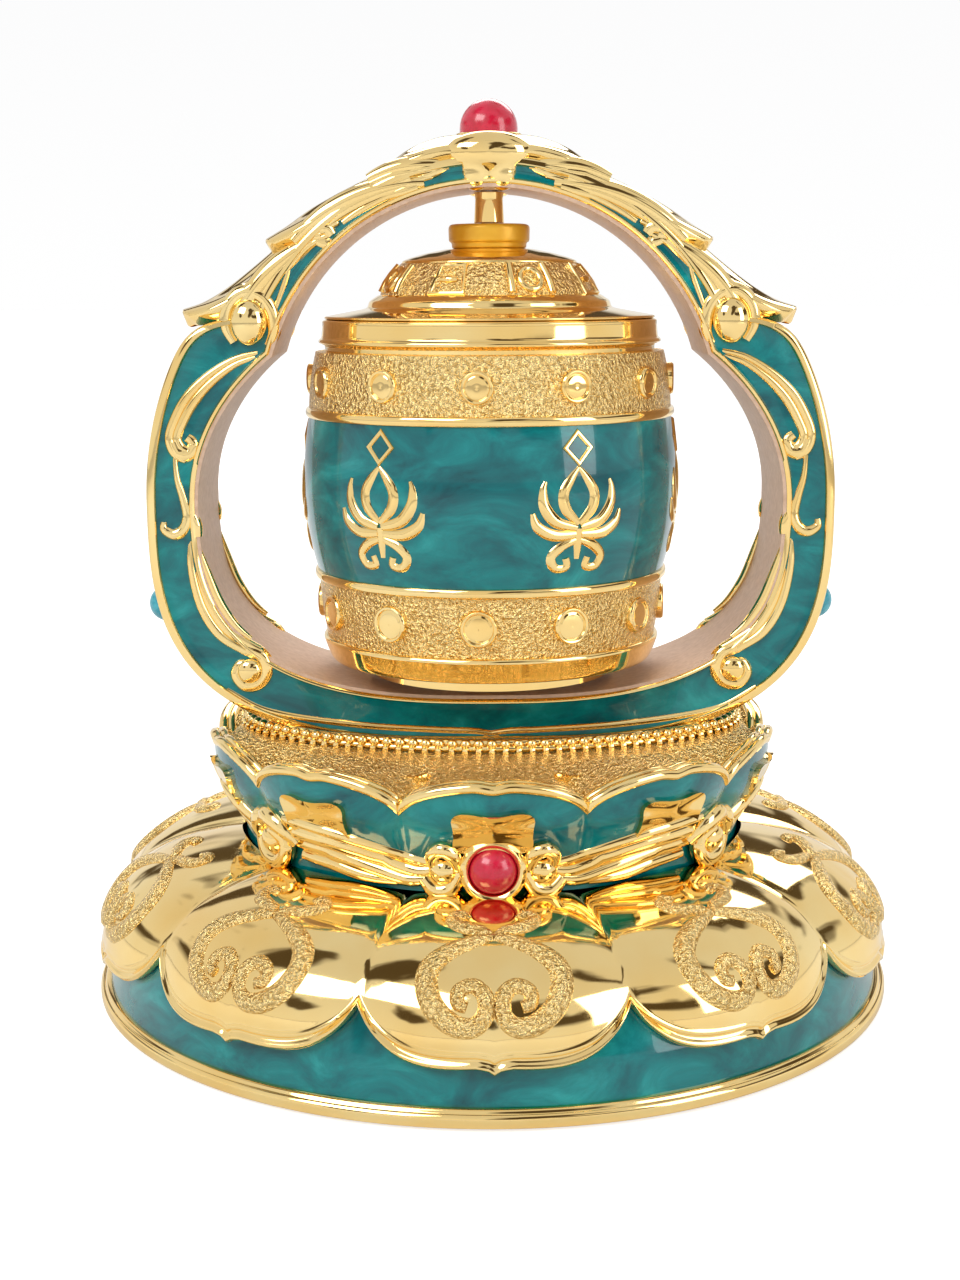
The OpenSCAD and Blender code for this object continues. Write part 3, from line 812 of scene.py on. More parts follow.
def floor_place(angle, u, back):
    return polar(angle, oval_radius(angle, 0.2) * u, DECK_Z + (0.02 if back < 0.5 else -0.8))


def make_deck_floor():
    bm = shaped_ring(strip(3, 1.0, 1), 240, floor_place)
    finish_piece("deck_floor", bm, "stand", "stippled_gold")


make_waist()
make_lip()
make_deck()
make_deck_floor()

# %% Oval bead border
BEAD_COUNT = 100
BEAD_R = 0.64


def oval_point(turn, grow, height):
    a = turn * TAU
    return Vector(((OVAL_WIDE + grow) * math.sin(a), -(OVAL_DEEP + grow) * math.cos(a), height))


def even_turns(count, grow):
    fine = [oval_point(i / 2000, grow, 0) for i in range(2001)]
    steps = [0.0]
    for a, b in zip(fine, fine[1:]):
        steps.append(steps[-1] + (b - a).length)
    turns, j = [], 0
    for k in range(count):
        want = steps[-1] * k / count
        while steps[j + 1] < want:
            j += 1
        turns.append((j + (want - steps[j]) / (steps[j + 1] - steps[j])) / 2000)
    return turns


def make_beads():
    bm = bmesh.new()
    for turn in even_turns(BEAD_COUNT, 0):
        at = Matrix.Translation(oval_point(turn, 0, DECK_Z + 2.0))
        bmesh.ops.create_uvsphere(bm, u_segments=10, v_segments=6, radius=BEAD_R, matrix=at)
        foot = Matrix.Translation(oval_point(turn, 0.55, DECK_Z + 1.15))
        drop = foot @ Matrix.Diagonal((1, 1, 1.5, 1))
        bmesh.ops.create_uvsphere(bm, u_segments=8, v_segments=4, radius=0.46, matrix=drop)
    finish_piece("oval_beads", bm, "stand", "polished_gold", ["bead_border"])
    strokes = Strokes(3)
    steps = 240
    for grow, height, width in ((-0.1, DECK_Z + 1.45, 0.42), (-1.0, DECK_Z + 1.9, 0.55)):
        line = [(k / steps, (grow, height), width) for k in range(steps)]
        strokes.lay(line, lambda a, grow_z: (oval_point(a, *grow_z), NOWHERE), True)
    finish_piece("bead_rail", strokes.to_bmesh(), "stand", "polished_gold")


make_beads()

# %% [markdown]
# A girdle of gold scroll work ties the narrowest part of the waist. At the front and at the back
# a red stone sits in a plain bezel between two small volutes. Fluted ribbons lead away from it
# and roll up at their far ends, and short leaves fill the sides.

# %% Girdle
GIRDLE_Z = sum(v.z for v in size_of("girdle_bezels")) / 2
STONE_R = size_of("girdle_stones")[1].x


def girdle_surface(base, lift=0.0):
    def surface(angle, up):
        height = GIRDLE_Z + up
        t = min(1.0, max(0.0, (height - WAIST_LOW) / (lip_height(0) - WAIST_LOW)))
        return polar(base + angle, waist_radius(base + angle, t) + 0.45 + lift, height)
    return surface


# Every line of the girdle is a list of (degrees, millimetres up, half width)
RIBBON = [
    [(11, -0.4, 0.6), (16, -0.9, 0.95), (24, 0.2, 1.05), (33, 1.3, 1.2), (41, 1.7, 1.2),
     (48, 1.4, 0.9)],
    [(10, -1.0, 0.5), (17, -1.9, 0.85), (25, -1.1, 1.0), (34, -0.2, 1.15), (42, 0.2, 1.1),
     (48, 0.2, 0.8)],
    [(9, -0.2, 0.6), (15, 0.3, 0.7), (23, 1.5, 0.75), (32, 2.7, 0.8), (40, 3.2, 0.7),
     (46, 3.1, 0.5)],
    [(20, -2.2, 0.5), (28, -2.0, 0.8), (36, -1.3, 0.9), (44, -1.1, 0.7)],
]
VOLUTE = [(44, 0.2, 0.7), (48, 2.2, 1.15), (53, 2.7, 1.3), (57.3, 0.8, 1.3), (56, -2.0, 1.2),
          (51.2, -2.5, 1.1), (48.6, -0.8, 1.0), (51, 0.9, 1.0), (53.4, 0.1, 1.15)]
SMALL_VOLUTE = [(14.0, -1.3, 0.8), (11.6, -2.6, 1.0), (8.6, -2.4, 1.05), (6.9, -0.7, 1.0),
                (7.6, 1.3, 0.95), (9.8, 2.2, 0.9), (11.9, 1.2, 0.85), (11.3, -0.3, 0.8),
                (9.6, -0.4, 0.8)]
SIDE_LEAF = [(57, -0.8, 0.6), (61, 0.6, 0.95), (66, 2.2, 1.0), (71, 3.4, 0.7), (75, 4.0, 0.3)]
SIDE_LEAF_LOW = [(57, -1.2, 0.6), (62, -0.8, 0.9), (68, 0.2, 0.95), (75, 0.8, 0.7), (81, 0.6, 0.5),
                 (85, 1.4, 0.7), (87.5, 0.4, 0.6), (86, -0.8, 0.5)]


def make_girdle():
    strokes = Strokes(3)
    for base in (0, 180):
        place = on(girdle_surface(base))
        bold = on(girdle_surface(base, 0.9))
        for side in (-1, 1):
            for line in RIBBON + [SIDE_LEAF, SIDE_LEAF_LOW]:
                strokes.lay([(side * a, up, w) for a, up, w in smooth_line(line)], place)
            for line in (VOLUTE, SMALL_VOLUTE):
                strokes.lay([(side * a, up, w) for a, up, w in smooth_line(line)], bold)
    work = strokes.to_bmesh()
    for base in (0, 180):
        for turn, up, size in ((-52.6, 0, 2.1), (-9.7, -0.3, 1.8), (9.7, -0.3, 1.8),
                               (52.6, 0, 2.1)):
            blob(work, girdle_surface(base, 0.2)(turn, up), (size, size, size))
    finish_piece("girdle_work", work, "stand", "polished_gold", ["girdle_scrolls"])


def facing(base, radius, height):
    """Placing of a turned shape so that its axis points out of the waist."""
    return (Matrix.Rotation(math.radians(base), 4, "Z") @ Matrix.Translation((0, -radius, height))
            @ Matrix.Rotation(math.radians(90), 4, "X"))


def placed_turnings(profile, steps, places, cut=0.12):
    bm = bmesh.new()
    for place in places:
        part = spin_section(soft(profile, cut, 3), steps)
        bmesh.ops.transform(part, matrix=place, verts=part.verts)
        join_in(bm, part)
    return bm


AXIS = 0.004                # a section starts this close to its axis, and merges into a pole


def dome(radius, rise, sink=0.8, count=10):
    """Section of a stone: a shallow dome over a short straight foot."""
    ball = (radius * radius + rise * rise) / (2 * rise)
    spread = math.asin(min(1.0, radius / ball))
    turns = [spread * (1 - i / count) for i in range(count)]
    arc = [(ball * math.sin(a), ball * math.cos(a) - ball + rise) for a in turns]
    return [(AXIS, -sink), (radius, -sink)] + arc + [(AXIS, rise)]


def make_girdle_stones():
    rise = 1.7
    reach = -size_of("girdle_stones")[0].y - rise
    seats = [facing(base, reach, GIRDLE_Z) for base in (0, 180)]
    ring = [(0.4, -2.8), (STONE_R + 1.1, -2.8), (STONE_R + 0.95, 0.1), (STONE_R + 0.45, 0.65),
            (STONE_R - 0.02, 0.35), (STONE_R - 0.02, -0.5), (0.4, -0.5)]
    finish_piece("stone_bezels", placed_turnings(ring, 64, seats), "stand", "polished_gold",
                 ["girdle_bezels"])
    bm = bmesh.new()
    for seat in seats:
        part = spin_section(dome(STONE_R - 0.05, rise), 64)
        bmesh.ops.transform(part, matrix=seat, verts=part.verts)
        join_in(bm, part)
    finish_piece("red_girdle_stones", bm, "stand", "coral_stone", ["girdle_stones"])


make_girdle()
make_girdle_stones()

# %% [markdown]
# Between the girdle and the lip each lobe has a bare gold window, shaped like a stretched hide.
# It is dished: its rim stands clear of the enamel and its middle lies just above it.

# %% Gold windows on the waist
def window_edge(turn):
    """Outline of a window in degrees and millimetres, with four drawn-out corners."""
    a = turn * TAU
    wide, tall = math.cos(a), math.sin(a)
    corner = abs(math.sin(2 * a)) ** 3
    across = 8.9 * wide * (0.82 + 0.24 * corner)
    up = 2.6 * tall * (0.86 + 0.36 * corner) + 0.15 * wide * wide
    return across, up


WINDOW_Z = 26.9


def make_windows():
    bm = bmesh.new()
    rings, around = 6, 48
    face = [(0.02 + i / rings, 0) for i in range(rings + 1)]
    for k in range(PETALS):
        blank = spin_section(face + [(1.0, -1), (0.02, -1)], around)
        for v in blank.verts:
            size = min(1.0, math.hypot(v.co.x, v.co.y))
            turn = (math.atan2(v.co.y, v.co.x) / TAU) % 1.0
            a, up = window_edge(turn)
            angle = k * STEP + a * size
            base = waist_surface(angle, WINDOW_Z + up * size)
            out = Vector((base.x, base.y, 0)).normalized()
            lift = 0.30 + 0.48 * size ** 4
            v.co = base + out * (lift if v.co.z > -0.5 else -0.8)
        join_in(bm, blank)
    finish_piece("waist_windows", bm, "stand", "polished_gold", ["waist_plaques"], 60)


make_windows()

# %% [markdown]
# The arch is a cast frame shaped like a horseshoe: a wide bowl below, two sharp shoulders, and a
# round top. All its shapes are rings round one centre, so the frame, the liner and the enamel
# share two outlines, and a point is placed by how far it lies from the inner or outer one.

# %% Arch outlines
CENTRE_Z = 59.5             # height of the centre that the rings go round
TOP_R = 25.7                # round top of the opening
TOP_Z = OPEN_TOP - TOP_R
BAND = 3.6                  # width of the frame round the top
SHOULDER_Z = 80.5
SHARP = 16                  # how sharp the corner of a shoulder is
INNER_RISE = 24.6           # half heights of the bowls, above and below the centre
OUTER_RISE = 39.7
OUTER_DROP = 28.7


def super_reach(a, wide, tall, power):
    """Distance from the centre to a rounded box of the given half sizes."""
    c, s = abs(math.cos(a)), abs(math.sin(a))
    return ((c / wide) ** power + (s / tall) ** power) ** (-1 / power)


def circle_reach(a, radius):
    """Distance from the centre to a circle round the middle of the top."""
    rise = TOP_Z - CENTRE_Z
    return rise * math.sin(a) + math.sqrt(radius ** 2 - (rise * math.cos(a)) ** 2)


def inner_reach(a):
    if math.sin(a) < 0:
        bowl = super_reach(a, OPEN_W, CENTRE_Z - OPEN_BOTTOM, 2.8)
    else:
        bowl = super_reach(a, OPEN_W, INNER_RISE, 2)
    return max(bowl, circle_reach(a, TOP_R))


def outer_reach(a):
    if math.sin(a) < 0:
        bowl = super_reach(a, OUTER_W, OUTER_DROP, 3)
    else:
        bowl = super_reach(a, OUTER_W, OUTER_RISE, 2)
        shoulder = (SHOULDER_Z + 0.3 - CENTRE_Z) / max(0.05, math.sin(a))
        bowl = (bowl ** -SHARP + shoulder ** -SHARP) ** (-1 / SHARP)
    return max(bowl, circle_reach(a, TOP_R + BAND))


def arch_point(turn, from_inner, share, depth):
    """A point of the arch. share 0 lies on the inner outline and 1 on the outer one, and
    from_inner is added in millimetres."""
    a = math.radians(turn) - math.pi / 2
    reach = inner_reach(a) * (1 - share) + outer_reach(a) * share + from_inner
    z = CENTRE_Z + reach * math.sin(a)
    return Vector((reach * math.cos(a), depth, max(z, DECK_Z + 0.05)))


def arch_ring(section, steps=720):
    """section holds (millimetres, share, depth) for each corner of the closed section. The blank
    tells its corners apart by their radius."""
    blank = [(BLANK_R + i, min(i, 1)) for i in range(len(section))]
    bm = spin_section(blank, steps)
    for v in bm.verts:
        x, y, z = v.co
        i = round(math.hypot(x, y) - BLANK_R)
        v.co = arch_point(math.degrees(math.atan2(x, -y)), *section[i])
    return bm


RIM = 1.15                  # gold edge beside the enamel
ENAMEL_D = HALF_D - 0.38    # the enamel lies this deep behind the gold edge


def make_arch():
    h = HALF_D
    face = [(0.45, 0, -h + 0.25), (0.75, 0, -h), (RIM - 0.2, 0, -h), (RIM, 0, -h + 0.3),
            (RIM, 0, -h + 0.9), (-RIM, 1, -h + 0.9), (-RIM, 1, -h + 0.3), (-RIM + 0.2, 1, -h),
            (-0.35, 1, -h), (0, 1, -h + 0.35)]
    flank = [(0, 1, -h + RIM), (-0.45, 1, -h + RIM + 0.1)]
    section = face + flank
    section = section + [(m, s, -y) for m, s, y in reversed(section)]
    finish_piece("arch_casting", arch_ring(section), "stand", "polished_gold", ["arch_frame"], 50)


def make_liner():
    h = HALF_D - 0.25
    section = [(0.5, 0, -h), (0.05, 0, -h + 0.05), (0, 0, -h + 0.4), (0, 0, 0), (0, 0, h - 0.4),
               (0.05, 0, h - 0.05), (0.5, 0, h)]
    finish_piece("satin_liner", arch_ring(section), "stand", "satin_gold", ["arch_liner"], 50)


def face_section(side):
    d = side * ENAMEL_D
    half = [(RIM - 0.1, 0, -0.8), (RIM - 0.1, 0, 0.12), (RIM + 0.5, 0, -0.03), (0.2, 0.3, -0.1)]
    other = [(-m, 1 - share, out) for m, share, out in reversed(half)]
    section = half + [(0, 0.5, -0.12)] + other
    return [(m, share, d + side * out) for m, share, out in section]


def make_arch_enamel():
    for side, name in ((-1, "front"), (1, "back")):
        finish_piece(f"{name}_enamel", arch_ring(face_section(side)), "stand", "teal_enamel",
                     [f"arch_enamel_{name}"], 50)
    h = HALF_D - RIM
    for side, name in ((-1, "left"), (1, "right")):
        bm = arch_ring([(-0.6, 1, -h), (-0.1, 1, -h), (-0.22, 1, -h + 1), (-0.26, 1, 0),
                        (-0.22, 1, h - 1), (-0.1, 1, h), (-0.6, 1, h)])
        bmesh.ops.bisect_plane(bm, geom=bm.verts[:] + bm.edges[:] + bm.faces[:],
                               plane_co=(side * 3, 0, 0), plane_no=(side, 0, 0), clear_inner=True)
        bmesh.ops.holes_fill(bm, edges=[e for e in bm.edges if e.is_boundary], sides=0)
        finish_piece(f"{name}_flank_enamel", bm, "stand", "teal_enamel", [f"arch_flank_{name}"], 50)


make_arch()
make_liner()
make_arch_enamel()

# %% [markdown]
# Scroll work runs over the enamel of both faces. One side is drawn, the other is its mirror
# image, and the back carries the same work as the front. A ribbon is two ribs side by side,
# which leaves the groove that a chaser would cut along it.

# %% Scroll work on the arch faces
def face_place(side):
    def place(x, z):
        return Vector((x * -side, side * (ENAMEL_D - 0.1), z)), Vector((0, side, 0))
    return place


def ribbon(line, spread):
    """Two lines either side of a line of (x, z, half width)."""
    pts = smooth_line(line)
    lines = [[], []]
    for i, p in enumerate(pts):
        ahead, behind = pts[min(i + 1, len(pts) - 1)], pts[max(i - 1, 0)]
        way = Vector((ahead[0] - behind[0], ahead[1] - behind[1])).normalized()
        across = Vector((-way.y, way.x)) * spread * p[2]
        for line_out, sign in zip(lines, (1, -1)):
            line_out.append((p[0] + sign * across.x, p[1] + sign * across.y, p[2] * 0.72))
    return lines


# Every line on a face is a list of (x, z, half width), drawn for the left side
S_RIBBON = [(-26.3, 76.4, 0.45), (-29.0, 75.6, 0.6), (-32.0, 73.6, 0.8), (-34.3, 71.2, 0.95),
            (-35.7, 68.8, 0.95), (-36.3, 67.0, 0.9), (-35.8, 65.6, 0.95), (-34.7, 65.0, 0.9)]
S_HOOK = [(-36.3, 66.6, 0.7), (-35.6, 65.2, 1.0), (-34.4, 65.2, 0.95), (-34.0, 66.4, 0.8),
          (-34.7, 67.1, 0.6)]
FORK = [(-36.2, 65.6, 0.25), (-36.0, 62.4, 0.4), (-35.3, 59.9, 0.6), (-34.9, 57.9, 0.75),
        (-35.5, 56.4, 0.8), (-36.6, 55.9, 0.75), (-37.7, 56.5, 0.6), (-37.7, 57.4, 0.4)]
TINE = [(-35.7, 61.0, 0.3), (-34.7, 58.8, 0.6), (-34.0, 57.0, 0.75), (-33.9, 55.6, 0.6)]
LONG_LEAF = [(-33.9, 57.2, 0.4), (-34.4, 54.5, 0.55), (-34.2, 51.5, 0.8), (-33.2, 47.6, 0.95),
             (-31.4, 44.6, 1.0), (-28.9, 42.8, 0.9), (-27.2, 41.9, 0.8)]
LEAF_VEIN = [(-33.9, 54.6, 0.3), (-32.9, 51.5, 0.5), (-31.6, 48.0, 0.6), (-29.8, 45.2, 0.5),
             (-28.0, 43.6, 0.3)]
ROLL = [(-28.6, 42.4, 0.8), (-26.9, 41.6, 0.95), (-26.3, 39.9, 1.0), (-27.2, 38.4, 1.0),
        (-28.8, 38.1, 0.95), (-29.8, 39.3, 0.85), (-29.3, 40.5, 0.75), (-28.2, 40.3, 0.95)]
VINE = [(-24.9, 79.8, 0.35), (-23.2, 84.2, 0.4), (-22.3, 87.0, 0.45), (-20.8, 89.1, 0.6),
        (-19.0, 89.6, 0.8)]
VINE_UP = [(-21.5, 89.2, 0.45), (-19.0, 90.9, 0.6), (-16.6, 92.2, 0.6), (-13.6, 93.9, 0.6),
           (-11.2, 95.0, 0.8), (-8.9, 95.9, 0.95)]
BUD_LOBES = [
    [(-19.8, 89.9, 0.7), (-18.4, 90.4, 0.95), (-17.6, 89.6, 0.7)],
    [(-19.4, 89.0, 0.6), (-18.3, 88.7, 0.8), (-17.6, 89.1, 0.5)],
    [(-12.6, 93.6, 0.5), (-10.0, 94.3, 0.9), (-8.0, 94.9, 0.8)],
    [(-13.4, 95.2, 0.5), (-10.6, 96.2, 1.0), (-7.6, 96.7, 0.9)],
]
KNOB = [(-25.2, 77.4, 0.6), (-24.5, 79.0, 0.85), (-24.7, 81.2, 1.0), (-26.0, 83.0, 1.05),
        (-28.0, 83.3, 1.0), (-29.6, 81.8, 0.9), (-29.9, 79.6, 0.75), (-29.0, 77.8, 0.6)]
KNOB_LEAF = [(-26.6, 83.2, 0.7), (-25.2, 84.9, 0.9), (-23.9, 86.6, 0.9), (-22.2, 88.2, 0.6)]
LOWER_RIM = [(-31.0, 37.6, 0.45), (-27.0, 35.3, 0.5), (-22.0, 34.1, 0.5), (-14.0, 33.1, 0.5),
             (-6.0, 32.6, 0.5), (-2.0, 32.45, 0.5), (0.9, 32.0, 0.4)]


def fan(root, tips):
    """Ribs that start together at (degrees, radius) and spread to their own tips."""
    lines, steps = [], 8
    for tip_angle, tip_radius, width in tips:
        line = []
        for i in range(steps + 1):
            t = i / steps
            a = math.radians(root[0] + (tip_angle - root[0]) * t)
            r = root[1] + (tip_radius - root[1]) * math.sin(t * math.pi / 2)
            swell = 0.55 + 0.45 * math.sin(math.pi * t)
            line.append((-r * math.sin(a), TOP_Z + r * math.cos(a), width * swell))
        lines.append(line)
    return lines


FANS = (fan((9, 28.4), [(27, 29.9, 1.1), (22, 28.9, 1.0), (16.5, 27.9, 0.7)])
        + fan((15.5, 27.2), [(48, 29.7, 1.2), (43, 28.5, 1.0), (37, 27.4, 0.7)])
        + fan((45, 28.2), [(69, 30.6, 1.25), (64, 29.4, 1.0)]))
SCROLL_LINES = ([S_HOOK, FORK, TINE, LEAF_VEIN, ROLL, VINE, VINE_UP, KNOB, KNOB_LEAF, LOWER_RIM]
                + BUD_LOBES + FANS)


def make_face_scrolls():
    for side, name in ((-1, "front"), (1, "back")):
        strokes = Strokes(3)
        place = face_place(side)
        for mirror in (-1, 1):
            for line in SCROLL_LINES:
                strokes.lay([(mirror * x, z, w) for x, z, w in smooth_line(line)], place)
            for line in (S_RIBBON, LONG_LEAF):
                for rib in ribbon(line, 0.5):
                    strokes.lay([(mirror * x, z, w) for x, z, w in rib], place)
        work = strokes.to_bmesh()
        for mirror in (-1, 1):
            blob(work, (mirror * 27.3, side * (ENAMEL_D + 0.1), 80.0), (2.1, 1.5, 2.6))
            blob(work, (mirror * 28.2, side * ENAMEL_D, 39.8), (1.5, 0.9, 1.5))
        finish_piece(f"{name}_scroll_work", work, "stand", "polished_gold",
                     [f"arch_scrolls_{name}"])


make_face_scrolls()

# %% [markdown]
# The crown is three broad leaves on each side, laid like roof tiles over the round top, with a
# fourth, shorter one under the lowest. Each starts under the one above it, follows the curve and
# flicks outwards at its tip. A grid is bent to the leaf's line, ribbed, and given its thickness.

# %% Crown leaves
# Every leaf is a list of (x, z, half depth) from its root to its tip, for the left side
LEAF_LINES = [
    [(1.0, 100.9, 8.9), (-3.3, 100.6, 9.1), (-6.3, 100.1, 9.2), (-9.5, 98.9, 9.2),
     (-12.3, 97.0, 8.2)],
    [(-7.0, 98.4, 9.0), (-11.0, 96.9, 9.15), (-14.6, 95.4, 9.2), (-19.6, 92.9, 9.25),
     (-22.9, 90.9, 9.1), (-25.7, 89.3, 7.9)],
    [(-18.2, 93.2, 9.0), (-21.2, 91.1, 9.2), (-24.6, 87.9, 9.25), (-29.2, 84.3, 9.2),
     (-32.4, 82.5, 9.0), (-35.4, 81.5, 7.6)],
    [(-19.0, 91.9, 8.9), (-21.6, 89.9, 9.1), (-24.8, 86.3, 9.1), (-28.8, 82.9, 9.0),
     (-32.4, 81.2, 8.2)],
]
LEAF_T = 2.1
LEAF_WRAP = 2.6             # how far a leaf's long edges turn down
LEAF_ACROSS = 28


def leaf_sheet(line, mirror):
    pts = smooth_line(line, 9)
    bm = bmesh.new()
    bmesh.ops.create_grid(bm, x_segments=LEAF_ACROSS, y_segments=len(pts) - 1, size=1)
    for v in bm.verts:
        row = round((v.co.y + 1) / 2 * (len(pts) - 1))
        side = v.co.x
        here = pts[row]
        ahead, behind = pts[min(row + 1, len(pts) - 1)], pts[max(row - 1, 0)]
        way = Vector((ahead[0] - behind[0], 0, ahead[1] - behind[1])).normalized()
        up = Vector((way.z, 0, -way.x))
        share = row / (len(pts) - 1)
        wrap = LEAF_WRAP * (1 - 0.6 * share) * abs(side) ** 6
        rib = 0.28 * math.cos(side * math.pi * 4) * math.sin(math.pi * min(1, share * 1.1 + 0.05))
        notch = 0.9 * share ** 4 * (1 - abs(math.cos(side * math.pi * 1.5)))
        centre = Vector((here[0], 0, here[1])) - way * notch
        v.co = centre + up * (rib - wrap) + Vector((0, side * here[2], 0))
        v.co.x *= mirror
    bmesh.ops.recalc_face_normals(bm, faces=bm.faces)
    if sum(f.normal.z for f in bm.faces) < 0:
        bmesh.ops.reverse_faces(bm, faces=bm.faces)
    bmesh.ops.solidify(bm, geom=bm.faces[:], thickness=LEAF_T)
    edges = [e for e in bm.edges if e.calc_face_angle(0) > 0.9]
    bmesh.ops.bevel(bm, geom=edges, offset=0.3, segments=2, profile=0.5, affect="EDGES",
                    material=-1)
    return bm


def make_crown_leaves():
    for name, mirror in (("left", 1), ("right", -1)):
        bm = bmesh.new()
        for line in LEAF_LINES:
            join_in(bm, leaf_sheet(line, mirror))
        finish_piece(f"{name}_crown_leaves", bm, "stand", "polished_gold",
                     [f"crown_leaves_{name}"], 50)


make_crown_leaves()

# %% [markdown]
# The middle of the crown is a rounded boss on each face, with two small lobes under it, and a
# saddle over the top joins them and carries the red bead in a low cup. Such a soft casting is
# easiest to make from a few balls that are melted together by a voxel remesh.

# %% Crown boss, cup and bead
CUP_LOW = size_of("crown_cup")[0]
BEAD_LOW, BEAD_HIGH = size_of("crown_bead")
BEAD_RAD = BEAD_HIGH.x


def make_boss():
    bm = bmesh.new()
    for side in (-1, 1):
        y = side * (HALF_D - 1.2)
        blob(bm, (0, y, 98.7), (4.9, 2.3, 2.35), 48)
        for s in (-1, 1):
            blob(bm, (s * 1.5, y - side * 0.2, 96.4), (1.8, 1.8, 2.0), 40)
    blob(bm, (0, 0, 99.7), (5.4, HALF_D - 0.5, 1.3), 48)
    finish_piece("cloud_boss", melted(bm, 0.3, 8), "stand", "polished_gold", ["crown_boss"], 70)


def make_crown_bead():
    angles = [math.radians(90 - 9 * i) for i in range(10)]
    middle = BEAD_HIGH.z - BEAD_RAD
    arc = [(BEAD_RAD * math.sin(a), middle + BEAD_RAD * math.cos(a)) for a in angles]
    section = [(AXIS, BEAD_LOW.z), (BEAD_RAD, BEAD_LOW.z)] + arc + [(AXIS, BEAD_HIGH.z)]
    finish_piece("red_crown_bead", spin_section(section, 96), "stand", "coral_stone",
                 ["crown_bead"], 60)
    cup = CUP_LOW.z
    turned("bead_cup", [(0.4, cup - 1.2), (BEAD_RAD + 0.2, cup - 1.2), (BEAD_RAD + 0.55, cup + 0.2),
                        (BEAD_RAD + 0.4, cup + 0.75), (BEAD_RAD + 0.05, cup + 0.7),
                        (BEAD_RAD + 0.05, cup + 0.35), (0.4, cup + 0.35)],
           "stand", "polished_gold", ["crown_cup"], 0.15, 96)


make_boss()
make_crown_bead()

# %% Turquoise beads on the flanks
SIDE_Z = sum(v.z for v in size_of("side_beads")) / 2
SIDE_X = size_of("side_beads")[1].x
SIDE_RISE = 2.05            # height of a bead over the rim of its seat


def sideways(sign):
    seat = Matrix.Translation((sign * (SIDE_X - SIDE_RISE), 0, SIDE_Z))
    return seat @ Matrix.Rotation(math.radians(sign * 90), 4, "Y")


def make_side_beads():
    seats = [sideways(s) for s in (-1, 1)]
    bm = bmesh.new()
    for seat in seats:
        part = spin_section(dome(2.15, SIDE_RISE, 0.7), 48)
        bmesh.ops.transform(part, matrix=seat, verts=part.verts)
        join_in(bm, part)
    finish_piece("turquoise_beads", bm, "stand", "turquoise", ["side_beads"], 60)
    ring = [(0.4, -2.6), (2.7, -2.6), (2.65, -0.3), (2.4, 0.1), (2.18, 0.0), (2.18, -0.7),
            (0.4, -0.7)]
    finish_piece("bead_seats", placed_turnings(ring, 48, seats), "stand", "polished_gold",
                 ["side_cups"])


make_side_beads()

# %% [markdown]
# The drum is built up from turned rings on a plain tube: a polished collar, two stippled bands
# with studs, a swelling enamel band between two fine trims, and a polished foot ring.

# %% Drum rings
SHELL_R = size_of("drum_shell")[1].x
COLLAR_LOW, COLLAR_HIGH = size_of("drum_collar")
COLLAR_R = COLLAR_HIGH.x
UPPER_LOW, UPPER_HIGH = size_of("upper_band")
LOWER_LOW, LOWER_HIGH = size_of("lower_band")
RING_LOW, RING_HIGH = size_of("foot_ring")
BORE = SHELL_R + 0.02
WIDEST = 0.55               # share of the enamel band's height where it swells most
TUCK_LOW, TUCK_HIGH = 1.5, 0.75
UPPER_R, LOWER_R = 21.35, 20.45        # stippled bands where they meet the enamel


def enamel_radius(z):
    t = (z - BAND_LO) / (BAND_HI - BAND_LO)
    below, above = max(0.0, WIDEST - t), max(0.0, t - WIDEST)
    return (DRUM_R - TUCK_LOW * below ** 2 / WIDEST ** 2
            - TUCK_HIGH * above ** 2 / (1 - WIDEST) ** 2)


def upper_radius(z):
    return UPPER_R - 0.0152 * max(0.0, z - BAND_HI) ** 2.05


def lower_radius(z):
    return LOWER_R - 0.017 * max(0.0, BAND_LO - z) ** 1.9


def heights(low, high, count):
    return [low + (high - low) * i / count for i in range(count + 1)]


def drum_band(name, profile, look, node):
    section = [(BORE, profile[0][1])] + profile + [(BORE, profile[-1][1])]
    finish_piece(name, spin_section(section, 192), "drum", look, [node])


def edge_trim(name, z, radius, node):
    turned(name, [(BORE, z - 0.55), (radius + 0.25, z - 0.55), (radius + 0.42, z - 0.2),
                  (radius + 0.42, z + 0.2), (radius + 0.25, z + 0.55), (BORE, z + 0.55)],
           "drum", "polished_gold", [node], 0.22)


